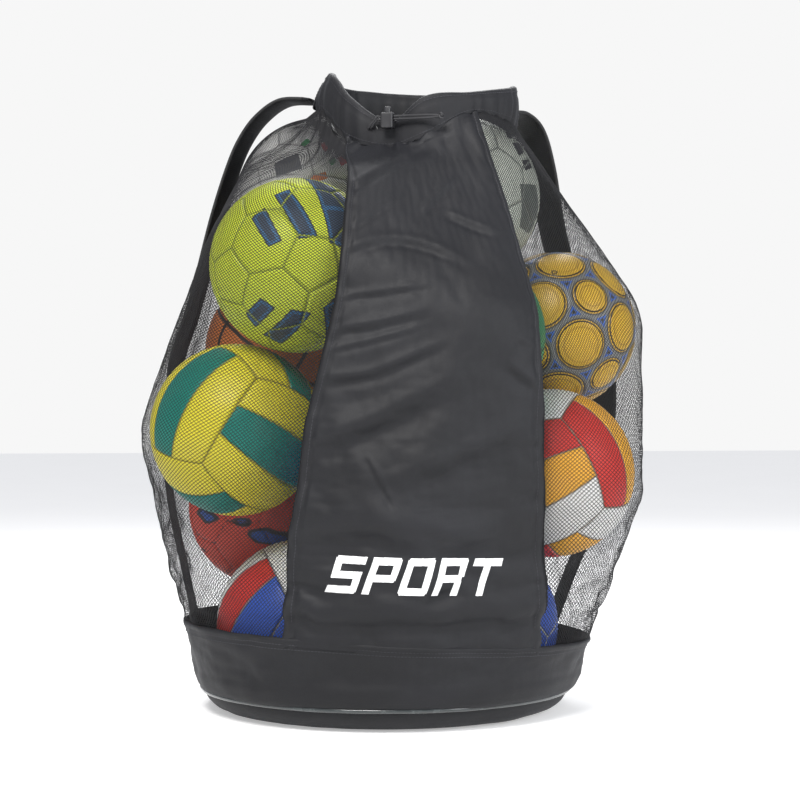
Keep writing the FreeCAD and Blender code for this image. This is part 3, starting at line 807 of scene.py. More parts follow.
def build_band():
    headings = np.linspace(-math.pi, math.pi, 480, endpoint=False)
    top = skin.share_at_height(headings, band_top(headings))
    rows = 34
    share = np.linspace(0, 1, rows)
    h = np.repeat(headings[:, None], rows, 1)
    s = top[:, None] * share[None, :]
    base = skin.at(h, s)
    folds = (
        value_noise(base * np.array([1.0, 1.0, 0.35]), 16.0, 21) * 0.0042
        + value_noise(base * np.array([1.0, 1.0, 1.2]), 34.0, 22) * 0.0016
    )
    body = np.sin(math.pi * np.clip(share, 0, 1)) ** 0.5
    welt = 0.0012 * bell((share - 0.955) / 0.03)
    dip = -0.0007 * bell((share - 0.90) / 0.012)
    lift = 0.0022 + folds * body[None, :] + welt[None, :] + dip[None, :]
    lift[:, 0] = 0.0005
    outer = skin.at(h, s, lift)
    outer[:, 0, 2] += 0.0006
    inner = skin.at(h, s, lift - BAND_SHEET)
    inner[:, 0, 2] += 0.0006
    band = sheet_mesh("band_cloth", outer, inner, MATERIALS["shell"], wrap=True)
    stand_for(band, "shell_fabric", "base_band")
    closed = np.append(np.arange(len(headings)), 0)
    for number, place in enumerate((-4, -6)):
        line = outer[:, place]
        normals = skin.normal(headings, s[:, place])
        row = stitches("stitch_band_%d" % (number + 1), (line + normals * 0.0001)[closed], normals[closed])
    facing_share = top[:, None] * np.linspace(0.72, 0.97, 4)[None, :]
    h = np.repeat(headings[:, None], 4, 1)
    lay_tape("band_facing_tape", "band_facing", h, facing_share, wrap=True)


# ---------------------------------------------------------------- front panel


# Folds of the panel: (x, z) points in mm along the underside of each fold, half width in mm, steepness.
PANEL_FOLDS = [
    ([(-72, 626), (-26, 654), (32, 688)], 6.0, 0.34),
    ([(-77, 577), (-37, 603), (-3, 620)], 5.5, 0.30),
    ([(15, 597), (41, 626), (67, 648)], 5.5, 0.34),
    ([(41, 599), (72, 586), (110, 572)], 6.0, 0.36),
    ([(-86, 549), (-43, 563), (-3, 563), (38, 549), (78, 526)], 7.0, 0.38),
    ([(-92, 498), (-31, 506), (32, 514)], 5.5, 0.32),
    ([(-97, 461), (-43, 469), (20, 485)], 7.0, 0.42),
    ([(-100, 438), (-43, 452), (15, 469)], 4.5, 0.30),
    ([(-112, 404), (-54, 412), (-3, 432), (49, 455)], 8.0, 0.42),
    ([(-129, 321), (-54, 353), (15, 387), (72, 421)], 17.0, 0.36),
    ([(-20, 290), (32, 310), (90, 333), (141, 350)], 17.0, 0.36),
    ([(-63, 324), (-46, 293), (-23, 248)], 4.5, 0.34),
    ([(112, 452), (147, 438)], 5.5, 0.30),
    ([(98, 424), (124, 407), (147, 391)], 8.0, 0.36),
    ([(-146, 245), (-72, 233), (15, 222), (141, 211)], 22.0, 0.26),
    ([(-158, 174), (-123, 140), (-95, 105)], 14.0, 0.26),
    ([(83, 185), (32, 151), (-14, 117)], 14.0, -0.24),
]
FOLD_PEAK = 1.65
FOLD_GAIN = 1.15
PANEL_WIDTH = 0.27
PANEL_HEIGHT = 0.62


def fold_height(x, z):
    """Height of the folds: each is full above its line and hollow below it."""
    total = np.zeros_like(x)
    for corners, half_width, steepness in PANEL_FOLDS:
        line = smooth_path([(a / 1000, 0.0, b / 1000) for a, b in corners], 96)[:, [0, 2]]
        width = half_width / 1000
        run = np.gradient(line, axis=0)
        above = unit(np.stack([-run[:, 1], run[:, 0]], 1))
        above *= np.where(above[:, 1:] < 0, -1.0, 1.0)
        gap = np.stack([x[..., None] - line[:, 0], z[..., None] - line[:, 1]], -1)
        nearest = np.argmin((gap**2).sum(-1), -1)
        pick = np.take_along_axis(gap, nearest[..., None, None], -2)[..., 0, :]
        off = (pick * above[nearest]).sum(-1) / width
        beyond = np.sqrt(np.maximum((pick**2).sum(-1) / width**2 - off**2, 0.0))
        share = nearest / (len(line) - 1.0)
        fade = np.clip(share * 4 + 0.25, 0, 1) * np.clip((1 - share) * 2.5, 0, 1)
        fade = fade * fade * (3 - 2 * fade) * bell(beyond)
        total += FOLD_PEAK * FOLD_GAIN * steepness * width * fade * off * bell(off)
    return total


def panel_grid(columns, rows, offset_of):
    """Points of the panel between its seams; offset_of(x, z, u, v) is the height over the skin."""
    v = np.linspace(0, 1, rows)
    middle = skin.share_at_height(np.zeros(1), band_top(np.zeros(1)))[0]
    rough = middle + (1 - middle) * v
    left, right = skin.seam(0, rough), skin.seam(1, rough)
    u = np.linspace(0, 1, columns)
    h = left[None, :] + u[:, None] * (right - left)[None, :]
    low = skin.share_at_height(h[:, 0], band_top(h[:, 0])) - 0.012
    s = low[:, None] + (1 - low[:, None]) * v[None, :]
    base = skin.at(h, s)
    lift = offset_of(base[..., 0], base[..., 2], u[:, None] + 0 * s, v[None, :] + 0 * s)
    return h, s, skin.at(h, s, lift), lift


def panel_lift(x, z, u, v):
    """Height of the panel's cloth over the skin: folds, a welt and puckers at the seams, gathers on top."""
    side = np.minimum(u, 1 - u) * PANEL_WIDTH
    top = (1 - v) * PANEL_HEIGHT
    calm = np.clip(side / 0.014, 0, 1) * np.clip(top / 0.03, 0, 1) * np.clip(v * PANEL_HEIGHT / 0.02, 0, 1)
    points = np.stack([x, 0 * x, z], -1)
    soft = value_noise(points, 9.0, 31) * 0.0016 + value_noise(points, 22.0, 32) * 0.0003
    welt = 0.0011 * bell((side - 0.004) / 0.0035)
    trough = -0.0009 * bell((side - 0.0105) / 0.0028)
    pucker = 0.0006 * np.sin(z / 0.0042 + 3 * np.sin(z * 40)) * bell((side - 0.011) / 0.008)
    gather = 0.0022 * np.sin(u * 46 + 2 * np.sin(u * 11)) * np.clip(1 - top / 0.045, 0, 1) ** 1.5
    return 0.0020 + calm * (0.0022 + fold_height(x, z) + soft) + welt + trough + pucker + gather


def build_panel():
    columns, rows = ((144, 330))
    h, s, outer, lift = panel_grid(columns, rows, panel_lift)
    inner = skin.at(h, s, lift - PANEL_SHEET)
    panel = sheet_mesh("panel_cloth", outer, inner, MATERIALS["panel"])
    stand_for(panel, "panel_fabric", "front_panel")
    for number, share in enumerate((0.030, 0.970)):
        i = int(round(share * (columns - 1)))
        k = rows // 24
        normals = skin.normal(h[i, k:], s[i, k:])
        row = stitches("stitch_panel_%d" % (number + 1), outer[i, k:] + normals * 0.0001, normals)
    for side, name in ((0, "left"), (1, "right")):
        share = np.linspace(0.12, 0.93, 120)
        middle = skin.seam(side, share)
        across = np.sort(np.linspace(-0.006, 0.036, 5) * (1 if side == 0 else -1))
        hh = middle[None, :] + across[:, None]
        ss = share[None, :] + 0 * hh
        lay_tape("seam_tape_cloth_" + name, "seam_tape_" + name, hh, ss)
    hh = math.pi + np.linspace(-0.030, 0.030, 5)[:, None] + np.zeros((1, 140))
    ss = np.linspace(0.12, 0.99, 140)[None, :] + 0 * hh
    lay_tape("seam_tape_cloth_back", "seam_tape_back", hh, ss, 0.0016, -0.0010)
    return h, s, lift


# Plain block capitals of the generic word on the panel: bars (x0, x1, z0, z1) in a unit cell.
LETTERS = {
    "S": [
        (0.04, 1, 0.79, 1), (0.0, 1, 0.40, 0.60), (0, 0.96, 0, 0.21), (0, 0.25, 0.40, 0.96),
        (0.75, 1, 0.04, 0.60),
    ],
    "P": [(0, 0.25, 0, 1), (0, 0.96, 0.79, 1), (0, 0.96, 0.33, 0.54), (0.75, 1, 0.38, 0.96)],
    "O": [(0, 0.25, 0.05, 0.95), (0.75, 1, 0.05, 0.95), (0.05, 0.95, 0.79, 1), (0.05, 0.95, 0, 0.21)],
    "R": [
        (0, 0.25, 0, 1), (0, 0.96, 0.79, 1), (0, 0.92, 0.36, 0.56), (0.75, 1, 0.50, 0.96),
        (0.68, 0.94, 0, 0.40),
    ],
    "T": [(0, 1.06, 0.79, 1), (0.40, 0.66, 0, 1)],
}
PRINT_WORD = "SPORT"
PRINT_LEFT = -0.104
PRINT_LOW = 0.165
PRINT_HEIGHT = 0.043
PRINT_LETTER = 0.033
PRINT_STEP = 0.0395
PRINT_SLANT = 0.32
PRINT_TILT = -0.03
PRINT_INK = 0.00025
PRINT_RANGE = (0.145, 0.225)
PRINT_GRID = (900, 240)


def build_print(h, s, lift):
    """The generic word printed on the panel, as a thin skin of ink over the cloth."""
    z = skin.at(h, s, lift)[..., 2]

    def inside_word(px, pz):
        result = np.zeros(px.shape, bool)
        b = (pz - PRINT_LOW - PRINT_TILT * (px - PRINT_LEFT)) / PRINT_HEIGHT
        for number, letter in enumerate(PRINT_WORD):
            a = (px - PRINT_LEFT - number * PRINT_STEP - b * PRINT_HEIGHT * PRINT_SLANT) / PRINT_LETTER
            for a0, a1, b0, b1 in LETTERS[letter]:
                result |= (a >= a0) & (a <= a1) & (b >= b0) & (b <= b1)
        return result

    fine_u = np.linspace(0, 1, PRINT_GRID[0])
    columns, rows = h.shape
    j0, j1 = (int(np.argmax(z[columns // 2] > height)) for height in PRINT_RANGE)
    fine_v = np.linspace(j0 / (rows - 1), j1 / (rows - 1), PRINT_GRID[1])

    def resample(data):
        i = fine_u * (columns - 1)
        j = fine_v * (rows - 1)
        i0 = np.minimum(i.astype(int), columns - 2)
        k0 = np.minimum(j.astype(int), rows - 2)
        a, b = (i - i0)[:, None], (j - k0)[None, :]
        if data.ndim == 3:
            a, b = a[..., None], b[..., None]
        g = data[i0][:, k0], data[i0 + 1][:, k0], data[i0][:, k0 + 1], data[i0 + 1][:, k0 + 1]
        return g[0] * (1 - a) * (1 - b) + g[1] * a * (1 - b) + g[2] * (1 - a) * b + g[3] * a * b

    surface = resample(skin.at(h, s, lift + PRINT_INK))
    px, pz = surface[..., 0], surface[..., 2]
    mask = inside_word(px, pz)
    cell = mask[:-1, :-1] & mask[1:, :-1] & mask[1:, 1:] & mask[:-1, 1:]
    i, j = np.nonzero(cell)
    up = len(fine_v)
    faces = np.stack([i * up + j, (i + 1) * up + j, (i + 1) * up + j + 1, i * up + j + 1], 1)
    used, inverse = np.unique(faces, return_inverse=True)
    mark = make_mesh("panel_print", surface.reshape(-1, 3)[used], inverse.reshape(-1, 4), MATERIALS["print"])


# ---------------------------------------------------------------- net


NET_GIRTH = 2 * math.pi * 0.235 * 0.80
NET_TALL = 0.64
NET_UNDER_SEAM = 0.012
NET_UNDER_BAND = 0.010
NET_LIFT = 0.0006


def build_net():
    """Two families of slanting cords that cross at the points of one grid, over the skin beside the panel."""
    half = NET_PITCH / 2
    across = int(NET_GIRTH / half) // 8 * 8
    up = int(NET_TALL / half)
    i = np.arange(across + 1)
    j = np.arange(up + 1)
    v = j / up
    mean_top = skin.share_at_height(np.array([math.pi / 2]), band_top(np.array([math.pi / 2])))[0]
    rough = mean_top + (1 - mean_top) * v
    left, right = skin.seam(0, rough), skin.seam(1, rough)
    start = right - NET_UNDER_SEAM
    end = left + 2 * math.pi + NET_UNDER_SEAM
    u = i / across
    h = start[None, :] + u[:, None] * (end - start)[None, :]
    h = within_turn(h)
    low = skin.share_at_height(h[:, 0], band_top(h[:, 0])) - NET_UNDER_BAND
    s = low[:, None] + (1.0 - low[:, None]) * v[None, :]
    crowd = value_noise(np.stack([4 * np.cos(h), 4 * np.sin(h), 5 * s], -1), 1.0, 41)
    drift = NET_LIFT * crowd
    points = skin.at(h, s, NET_LIFT + drift)
    normals = skin.normal(h, s)
    pieces = 6
    cuts = np.linspace(0, across, pieces + 1).astype(int)
    for number in range(pieces):
        a, b = cuts[number], cuts[number + 1]
        block_points, block_normals = points[a:b + 1], normals[a:b + 1]
        all_points, all_faces = [], []
        offset = 0
        wide, tall = block_points.shape[:2]
        gi, gj = np.meshgrid(np.arange(wide), np.arange(tall), indexing="ij")
        even = (gi + gj + a) % 2 == 0
        index = np.full((wide, tall), -1)
        index[even] = np.arange(even.sum())
        for slant in (1, -1):
            ahead_i = np.clip(gi + slant, 0, wide - 1)
            behind_i = np.clip(gi - slant, 0, wide - 1)
            ahead_j = np.clip(gj + 1, 0, tall - 1)
            behind_j = np.clip(gj - 1, 0, tall - 1)
            run = unit(block_points[ahead_i, ahead_j] - block_points[behind_i, behind_j])
            side = unit(np.cross(run, block_normals)) * (NET_WIDTH / 2)
            ridge = block_points + block_normals * NET_HEIGHT
            corners = np.stack([block_points - side, ridge, block_points + side], 2)[even]
            ok = even & (gi + slant >= 0) & (gi + slant < wide) & (gj + 1 < tall)
            i0, j0 = gi[ok], gj[ok]
            p = index[i0, j0] * 3 + offset
            q = index[i0 + slant, j0 + 1] * 3 + offset
            for m in (0, 1):
                all_faces.append(np.stack([p + m, p + m + 1, q + m + 1, q + m], 1))
            all_points.append(corners.reshape(-1, 3))
            offset += len(corners) * 3
        side_name = "right" if number < pieces / 2 else "left"
        net = make_mesh(
            "net_cords_%s_%d" % (side_name, number + 1),
            np.concatenate(all_points), np.concatenate(all_faces), MATERIALS["net"],
        )
        stand_for(net, "net", "net_" + side_name)


# ---------------------------------------------------------------- collar


def build_collar():
    count = 600
    headings = np.linspace(-math.pi, math.pi, count, endpoint=False)
    seam, rim = drape(1, headings), drape(2, headings)
    ring = np.stack([np.cos(headings), np.sin(headings), 0 * headings], -1)
    loose = np.clip((rim - seam) / 0.04, 0.4, 1.2)
    wave = 0.0035 * value_noise(ring * 1.0, 2.6, 51) + 0.0015 * value_noise(ring, 7.0, 52)
    gather = np.sin(headings * 40 + 2.2 * value_noise(ring, 5.0, 53))
    lean = collar_lean(headings)
    front = degrees_from(np.degrees(headings), LOCK_HEADING)
    calm = 1.0 - np.exp(-((front / LOCK_SPREAD) ** 4))
    section = [(0.0014, -0.12, "out")]
    for t in np.linspace(0, 1, 12):
        section.append((0.0016 + 0.0030 * math.sin(math.pi * t) ** 0.8, t, "out"))
    for t in np.linspace(0.15, 0.85, 5):
        section.append((0.0016 - 0.0076 * t, 1.0 + 0.06 * math.sin(math.pi * t), "rim"))
    for t in np.linspace(1, 0, 12):
        section.append((-0.0060 - 0.0015 * math.sin(math.pi * t), t, "in"))
    outer = np.zeros((count, len(section), 3))
    for k, (radial, t, part) in enumerate(section):
        level = seam + (rim - seam) * min(t, 1.0) + (t - min(t, 1.0)) * 0.03
        swing = wave * (0.25 + 0.75 * t) * loose * calm
        pleat = 0.0011 * gather * (1 - 0.75 * min(t, 1.0)) * (0.3 + 0.7 * calm)
        if part == "out":
            radial = 0.0016 + (radial - 0.0016) * (0.1 + 0.9 * calm)
        stitch = -0.0008 if abs(t - 0.84) < 0.05 and part != "rim" else 0.0
        outward = radial + swing + pleat + (stitch if part == "out" else -stitch) - lean * min(t, 1.0) ** 1.5
        outer[:, k] = collar_points(headings, outward, level)
    faces = grid_faces(count, len(section), True, True)
    collar = make_mesh("collar_cloth", outer.reshape(-1, 3), faces[:, ::-1], MATERIALS["shell"])
    add_faces(collar)
    stand_for(collar, "shell_fabric", "collar_outer", "collar_lining")
    closed = np.append(np.arange(count), 0)
    normal = np.stack([np.sin(headings), -np.cos(headings), 0 * headings], -1)
    for number, k in enumerate((2, 11)):
        line = outer[:, k] + normal * 0.0002
        row = stitches("stitch_collar_%d" % (number + 1), line[closed], normal[closed])


def braid(t, angle):
    return 1.0 + 0.10 * np.sin(angle * 2 + t * 400) * np.sin(angle * 2 - t * 400)


def build_cords():
    spread = math.radians(3.0)
    start = math.radians(EYELET_HEADING) + spread
    headings = np.linspace(start, start + 2 * math.pi - 2 * spread, 400)
    wrapped = within_turn(headings)
    level = 0.45 * drape(1, wrapped) + 0.55 * drape(2, wrapped)
    line = collar_points(wrapped, -0.0028, level)
    loop = tube("draw_cord_loop", line, CORD_RADIUS, MATERIALS["cord"], around=8)
    stand_for(loop, "cord", "drawcord_loop")

    lock, knot, eye = (box_middle(node) for node in ("cord_lock_body", "cord_knot", "eyelet"))
    lock[2] = knot[2]
    angle = math.radians(CORD_HEADING)
    run = np.array([math.cos(angle), math.sin(angle), 0.0])
    angle = math.radians(EYELET_HEADING)
    out = np.array([math.sin(angle), -math.cos(angle), 0.0])
    row = np.array([-out[1], out[0], 0.0])
    for number, side in enumerate((1, -1)):
        lift = np.array([0, 0, side * 0.0017])
        sideways = row * (-side * 0.0017)
        corners = np.array([
            eye + sideways - out * 0.0045,
            eye + sideways + out * 0.0035,
            lock + lift - run * 0.0130,
            lock + lift - run * 0.0105,
            lock + lift + run * 0.0120,
            lock + lift + run * 0.0480,
            knot + lift * 0.4 - run * 0.0020,
        ])
        line = smooth_path(corners, 90)
        name = "draw_cord_tail_%d" % (number + 1)
        tail = tube(name, line, TAIL_RADIUS, MATERIALS["cord"], around=12, shape=braid)
        stand_for(tail, "cord", "drawcord_tails")
    build_knot(knot, run)


def smooth_path(corners, count):
    """Catmull-Rom curve through corners, evenly sampled."""
    corners = np.asarray(corners, float)
    padded = np.vstack([2 * corners[0] - corners[1], corners, 2 * corners[-1] - corners[-2]])
    dense = []
    for k in range(1, len(padded) - 2):
        for t in np.linspace(0, 1, 40, endpoint=False):
            dense.append(cubic(padded[k - 1], padded[k], padded[k + 1], padded[k + 2], t))
    dense.append(padded[-2])
    dense = np.array(dense)
    run = np.concatenate([[0], np.cumsum(np.linalg.norm(np.diff(dense, axis=0), axis=1))])
    want = np.linspace(0, run[-1], count)
    return np.stack([np.interp(want, run, dense[:, k]) for k in range(3)], -1)


def build_knot(place, run):
    """Overhand knot that ties the two tails, as one closed loop of cord."""
    t = np.linspace(0, 2 * math.pi, 120, endpoint=False)
    up = np.array([0.0, 0.0, 1.0])
    side = np.cross(run, up)
    a = (np.sin(t) + 2 * np.sin(2 * t)) * KNOT_RADIUS * 0.42
    b = (np.cos(t) - 2 * np.cos(2 * t)) * KNOT_RADIUS * 0.42
    c = -np.sin(3 * t) * KNOT_RADIUS * 0.55
    line = place + a[:, None] * up + b[:, None] * side + c[:, None] * run
    knot = tube("cord_knot_tied", line, CORD_RADIUS, MATERIALS["cord"], closed=True, around=10)
    stand_for(knot, "cord", "cord_knot")


# ---------------------------------------------------------------- straps

# Each strap lies in an upright plane: its top end and outward direction are seen from above, in metres. The
# middle lines of the pad and the webbing are (distance from the top end, height) in mm.
STRAPS = {
    "left": {
        "top": (-0.08041, 0.05857),
        "run": (-0.92198, 0.38724),
        "pad": [(3, 768), (44, 768), (76, 748), (99, 718), (116, 680), (136, 620), (155, 550), (173, 490),
                (191, 440), (196.6, 397), (196.6, 355), (196.6, 326)],
        "web": [(166.9, 104.2), (182, 170), (197, 235), (205.6, 293), (205.6, 305), (205.6, 385)],
    },
    "right": {
        "top": (0.15688, 0.06628),
        "run": (0.89492, 0.44623),
        "pad": [(3, 758), (32, 758), (58, 738), (76, 690), (96, 600), (128, 520), (162, 460), (180, 430),
                (181.6, 397), (181.6, 355), (181.6, 326)],
        "web": [(88.0, 82.6), (122, 150), (160, 220), (190.6, 293), (190.6, 305), (190.6, 385)],
    },
}


def strap_line(side, points, count):
    strap = STRAPS[side]
    flat = np.array(points, float) / 1000.0
    padded = np.zeros((len(flat), 3))
    padded[:, 0] = strap["top"][0] + strap["run"][0] * flat[:, 0]
    padded[:, 1] = strap["top"][1] + strap["run"][1] * flat[:, 0]
    padded[:, 2] = flat[:, 1]
    return smooth_path(padded, count)


def strip(name, line, across, profile, material, body):
    """Solid strip along a line: profile is a closed ring of (across, thickness) points."""
    tangent = unit(np.gradient(line, axis=0))
    side = np.tile(np.asarray(across, float), (len(line), 1))
    normal = unit(np.cross(tangent, side))
    ring = np.asarray(profile, float)
    if ring.ndim == 2:
        ring = np.broadcast_to(ring, (len(line), *ring.shape))
    points = line[:, None] + ring[..., :1] * side[:, None] + ring[..., 1:] * normal[:, None]
    around = ring.shape[1]
    count = len(line) * around
    faces = grid_faces(len(line), around, False, True)
    centre = np.stack([points[0].mean(0), points[-1].mean(0)])
    thing = make_mesh(name, np.concatenate([points.reshape(-1, 3), centre]), faces, material, body)
    j = np.arange(around)
    k = (j + 1) % around
    last = (len(line) - 1) * around
    caps = np.concatenate([
        np.stack([np.full(around, count), j, k], 1),
        np.stack([np.full(around, count + 1), last + k, last + j], 1),
    ])
    add_faces(thing, caps)
    return thing


def rounded_profile(width, sheet, edge, count=14):
    """Cushion-like cross section with bound edges of thickness edge."""
    x = np.linspace(-1, 1, count)
    crown = edge / 2 + (sheet / 2 - edge / 2) * (1 - np.abs(x) ** 3.5)
    top = np.stack([x * width / 2, crown], 1)
    bottom = np.stack([x[::-1] * width / 2, -crown[::-1]], 1)
    return np.concatenate([top, bottom])


def build_straps():
    for side, strap in STRAPS.items():
        run = np.array([*strap["run"], 0.0])
        across = np.array([-run[1], run[0], 0.0])
        body, web_body = "strap_" + side, "webbing_" + side
        line = strap_line(side, strap["pad"], 220)
        profile = rounded_profile(0.050, 0.0075, 0.003)
        along = np.linspace(0, 1, len(line))
        length = np.linalg.norm(np.diff(line, axis=0), axis=1).sum()
        quilt = np.abs(np.sin(along * length / 0.034 * math.pi)) ** 0.45
        end = np.clip(np.minimum(along, 1 - along) * length / 0.012, 0, 1) ** 0.5
        rings = np.repeat(profile[None], len(line), 0).copy()
        thick = np.where(np.abs(profile[:, 1]) > 0.0019, 1.0, 0.0)
        rings[..., 1] *= 1 - (1 - quilt[:, None]) * 0.30 * thick[None]
        rings[..., 1] *= (0.45 + 0.55 * end)[:, None]
        taper = 1 - 0.25 * np.clip((along - 0.9) / 0.1, 0, 1)
        rings[..., 0] *= taper[:, None]
        pad = strip("strap_pad_cloth_" + side, line, across, rings, MATERIALS["pad"], body)
        stand_for(pad, "pad_fabric", "strap_pad_" + side)
        for number, place in enumerate((-1, 1)):
            edge = (line + across * place * 0.0225 * taper[:, None])[4:-4] + across * place * 0.0018
            name = "strap_binding_%s_%d" % (side, number + 1)
            binding = tube(name, edge, 0.0021, MATERIALS["webbing"], body, around=8)
        web = strap_line(side, strap["web"], 120)
        ribbon = rounded_profile(0.025, 0.0018, 0.0014, 8)
        name = "strap_webbing_cloth_" + side
        webbing = strip(name, web, across, ribbon, MATERIALS["webbing"], web_body)
        stand_for(webbing, "webbing", "strap_webbing_" + side)
        build_tab(side, across, run)
        build_patch(side)


def build_tab(side, across, run):
    low, high = (np.array(v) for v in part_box("strap_tab_" + side))
    middle = (low + high) / 2
    heights = np.linspace(low[2], high[2], 14)
    lean = (heights - heights[0]) / (heights[-1] - heights[0]) * 0.008 - 0.004
    line = np.stack([middle[0] + run[0] * lean, middle[1] + run[1] * lean, heights], 1)
    end = np.clip(np.arange(14) / 2.0, 0, 1)
    profile = rounded_profile(0.036, 0.0050, 0.0040, 12)
    rings = np.repeat(profile[None], 14, 0).copy()
    rings[..., 1] *= (0.55 + 0.45 * end)[:, None]
    tab = strip("strap_tab_cloth_" + side, line, across, rings, MATERIALS["webbing"], "root")
    stand_for(tab, "webbing", "strap_tab_" + side)


def build_patch(side):
    """Cloth patch that a strap's top end is sewn to, on the collar's outer face."""
    x, y = STRAPS[side]["top"]
    heading = math.atan2(x - COLLAR_CENTRE[0], COLLAR_CENTRE[1] - y)
    half = 0.5 * 0.064 / COLLAR_RADIUS
    around = np.linspace(heading - half, heading + half, 40)
    wrapped = within_turn(around)
    seam, rim = drape(1, wrapped), drape(2, wrapped)
    v = np.linspace(0, 1, 18)
    ring = np.stack([np.cos(wrapped), np.sin(wrapped), 0 * wrapped], -1)
    wave = 0.0035 * value_noise(ring * 1.0, 2.6, 51)
    outer = np.zeros((40, 18, 3))
    inner = np.zeros((40, 18, 3))
    u = np.abs(np.linspace(-1, 1, 40))
    for j, t in enumerate(v):
        level = seam + 0.002 + (rim - seam - 0.006) * t
        edge = np.maximum(u, abs(2 * t - 1))
        puff = 0.0010 * (1 - edge**6)
        lean = collar_lean(wrapped) * (0.04 + 0.90 * t) ** 1.5
        swing = wave * (0.25 + 0.75 * t) * np.clip((rim - seam) / 0.04, 0.4, 1.2) - lean
        outer[:, j] = collar_points(wrapped, 0.0068 + swing + puff, level)
        inner[:, j] = collar_points(wrapped, 0.0050 + swing, level)
    patch = sheet_mesh("strap_patch_cloth_" + side, outer, inner, MATERIALS["shell"])
    stand_for(patch, "shell_fabric", "strap_patch_" + side)
    normal = np.stack([np.sin(wrapped), -np.cos(wrapped), 0 * wrapped], -1)
    i0, i1, j0, j1 = 4, 35, 2, 15
    loop = [outer[i, j0] for i in range(i0, i1)] + [outer[i1, j] for j in range(j0, j1)]
    loop += [outer[i, j1] for i in range(i1, i0, -1)] + [outer[i0, j] for j in range(j1, j0, -1)]
    loop_normals = [normal[i] for i in range(i0, i1)] + [normal[i1]] * (j1 - j0)
    loop_normals += [normal[i] for i in range(i1, i0, -1)] + [normal[i0]] * (j1 - j0)
    row = stitches("stitch_patch_" + side, np.array(loop), np.array(loop_normals))


# ---------------------------------------------------------------- balls


def icosphere(level):
    work = bmesh.new()
    bmesh.ops.create_icosphere(work, subdivisions=level, radius=1.0)
    points = np.array([v.co for v in work.verts])
    faces = np.array([[v.index for v in f.verts] for f in work.faces])
    work.free()
    return unit(points), faces


def cube_sphere(lines):
    """Unit sphere from six faces; lines are the angular places of the grid lines, -1..1."""
    lines = np.asarray(lines)
    count = len(lines)
    a, b = np.meshgrid(np.tan(lines * math.pi / 4), np.tan(lines * math.pi / 4), indexing="ij")
    one = np.ones_like(a)
    sides = [
        np.stack([one, a, b], -1), np.stack([-one, -a, b], -1),
        np.stack([b, one, a], -1), np.stack([b, -one, -a], -1),
        np.stack([a, b, one], -1), np.stack([-a, b, -one], -1),
    ]
    points = [unit(side).reshape(-1, 3) for side in sides]
    faces = [grid_faces(count, count, start=k * count * count) for k in range(6)]
    return np.concatenate(points), np.concatenate(faces)


GOLDEN = (1 + 5**0.5) / 2


def icosahedron():
    corners = []
    for a in (-1, 1):
        for b in (-GOLDEN, GOLDEN):
            corners += [(0, a, b), (a, b, 0), (b, 0, a)]
    corners = unit(np.array(corners, float))
    middles = []
    for i in range(12):
        for j in range(i + 1, 12):
            for k in range(j + 1, 12):
                if min(corners[i] @ corners[j], corners[i] @ corners[k], corners[j] @ corners[k]) > 0.4:
                    middles.append(corners[i] + corners[j] + corners[k])
    return corners, unit(np.array(middles))


PENTAGONS, HEXAGONS = icosahedron()


def rotation(angles):
    return np.array(Euler([math.radians(a) for a in angles]).to_matrix())


def turned(directions, angles):
    """Directions in a ball's own frame, turned back by its angles in degrees."""
    return directions @ rotation(angles)


def soccer_fields(directions):
    """Distance to the nearest seam of the 32 panels, and pentagon-or-hexagon sign."""
    five = (directions @ PENTAGONS.T) / 0.9393
    six = (directions @ HEXAGONS.T) / 0.9149
    every = np.sort(np.concatenate([five, six], 1), 1)
    seam = (every[:, -1] - every[:, -2]) / 0.72
    return seam, five.max(1) - six.max(1)


def ball_object(name, directions, faces, radius, material, lift):
    centre, _ = BALLS[name]
    points = centre + directions * (radius + lift)[:, None]
    thing = make_mesh("skin_" + name, points, faces, material)
    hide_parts(name)
    return thing


def patch_field(directions, patches):
    """Signed distance to the nearest of some convex patches on the ball's front; negative inside.

    A patch is a list of the (x, z) of its corners on the unit ball.
    """
    best = np.full(len(directions), 9.0)
    for corners in patches:
        points = np.array([(x, -math.sqrt(max(0.0, 1 - x * x - z * z)), z) for x, z in corners])
        points = unit(points)
        middle = unit(points.mean(0))
        field = np.full(len(directions), -9.0)
        for a, b in zip(points, np.roll(points, -1, 0)):
            edge = unit(np.cross(a, b))
            if edge @ middle > 0:
                edge = -edge
            field = np.maximum(field, directions @ edge)
        field[directions @ middle < 0] = 9.0
        best = np.minimum(best, field)
    return best


def leather(n, colour, roughness=0.42, groove=None, pebble=420.0, depth=0.00018):
    grain = n.noise(pebble, 2.0)
    normal = n.bump(grain, depth, 0.5)
    if groove is not None:
        normal = n.bump(groove, 0.0012, 1.0, normal)
    dirt = n.noise(16.0, 4.0)
    tone = n.mix(n.math("MULTIPLY", n.ramp(dirt, 0.5, 0.8), 0.12), colour, (0.25, 0.23, 0.2))
    rough = n.ramp(dirt, 0.3, 0.8, roughness, roughness + 0.15)
    return n.finish(tone, rough, normal, Specular_IOR_Level=0.4)


def panelled_ball(name, level, angles, paint, groove_colour, slot):
    """Ball of 32 panels; paint is a colour, or a function of its nodes that returns a colour socket."""
    directions, faces = icosphere(level)
    local = turned(directions, angles)
    seam, kind = soccer_fields(local)
    _, radius = BALLS[name]
    lift = -0.0011 * bell(seam * radius / 0.0022)
    n = Nodes("skin_" + name)
    colour = paint(n) if callable(paint) else paint
    colour = n.mix(n.under(n.field("seam"), 0.006, 0.016), colour, groove_colour)
    material = leather(n, colour, groove=n.ramp(n.field("seam"), 0.0, 0.035))
    thing = ball_object(name, directions, faces, radius, material, lift)
    float_attribute(thing, "seam", seam)
    float_attribute(thing, "kind", kind)
    return thing, directions


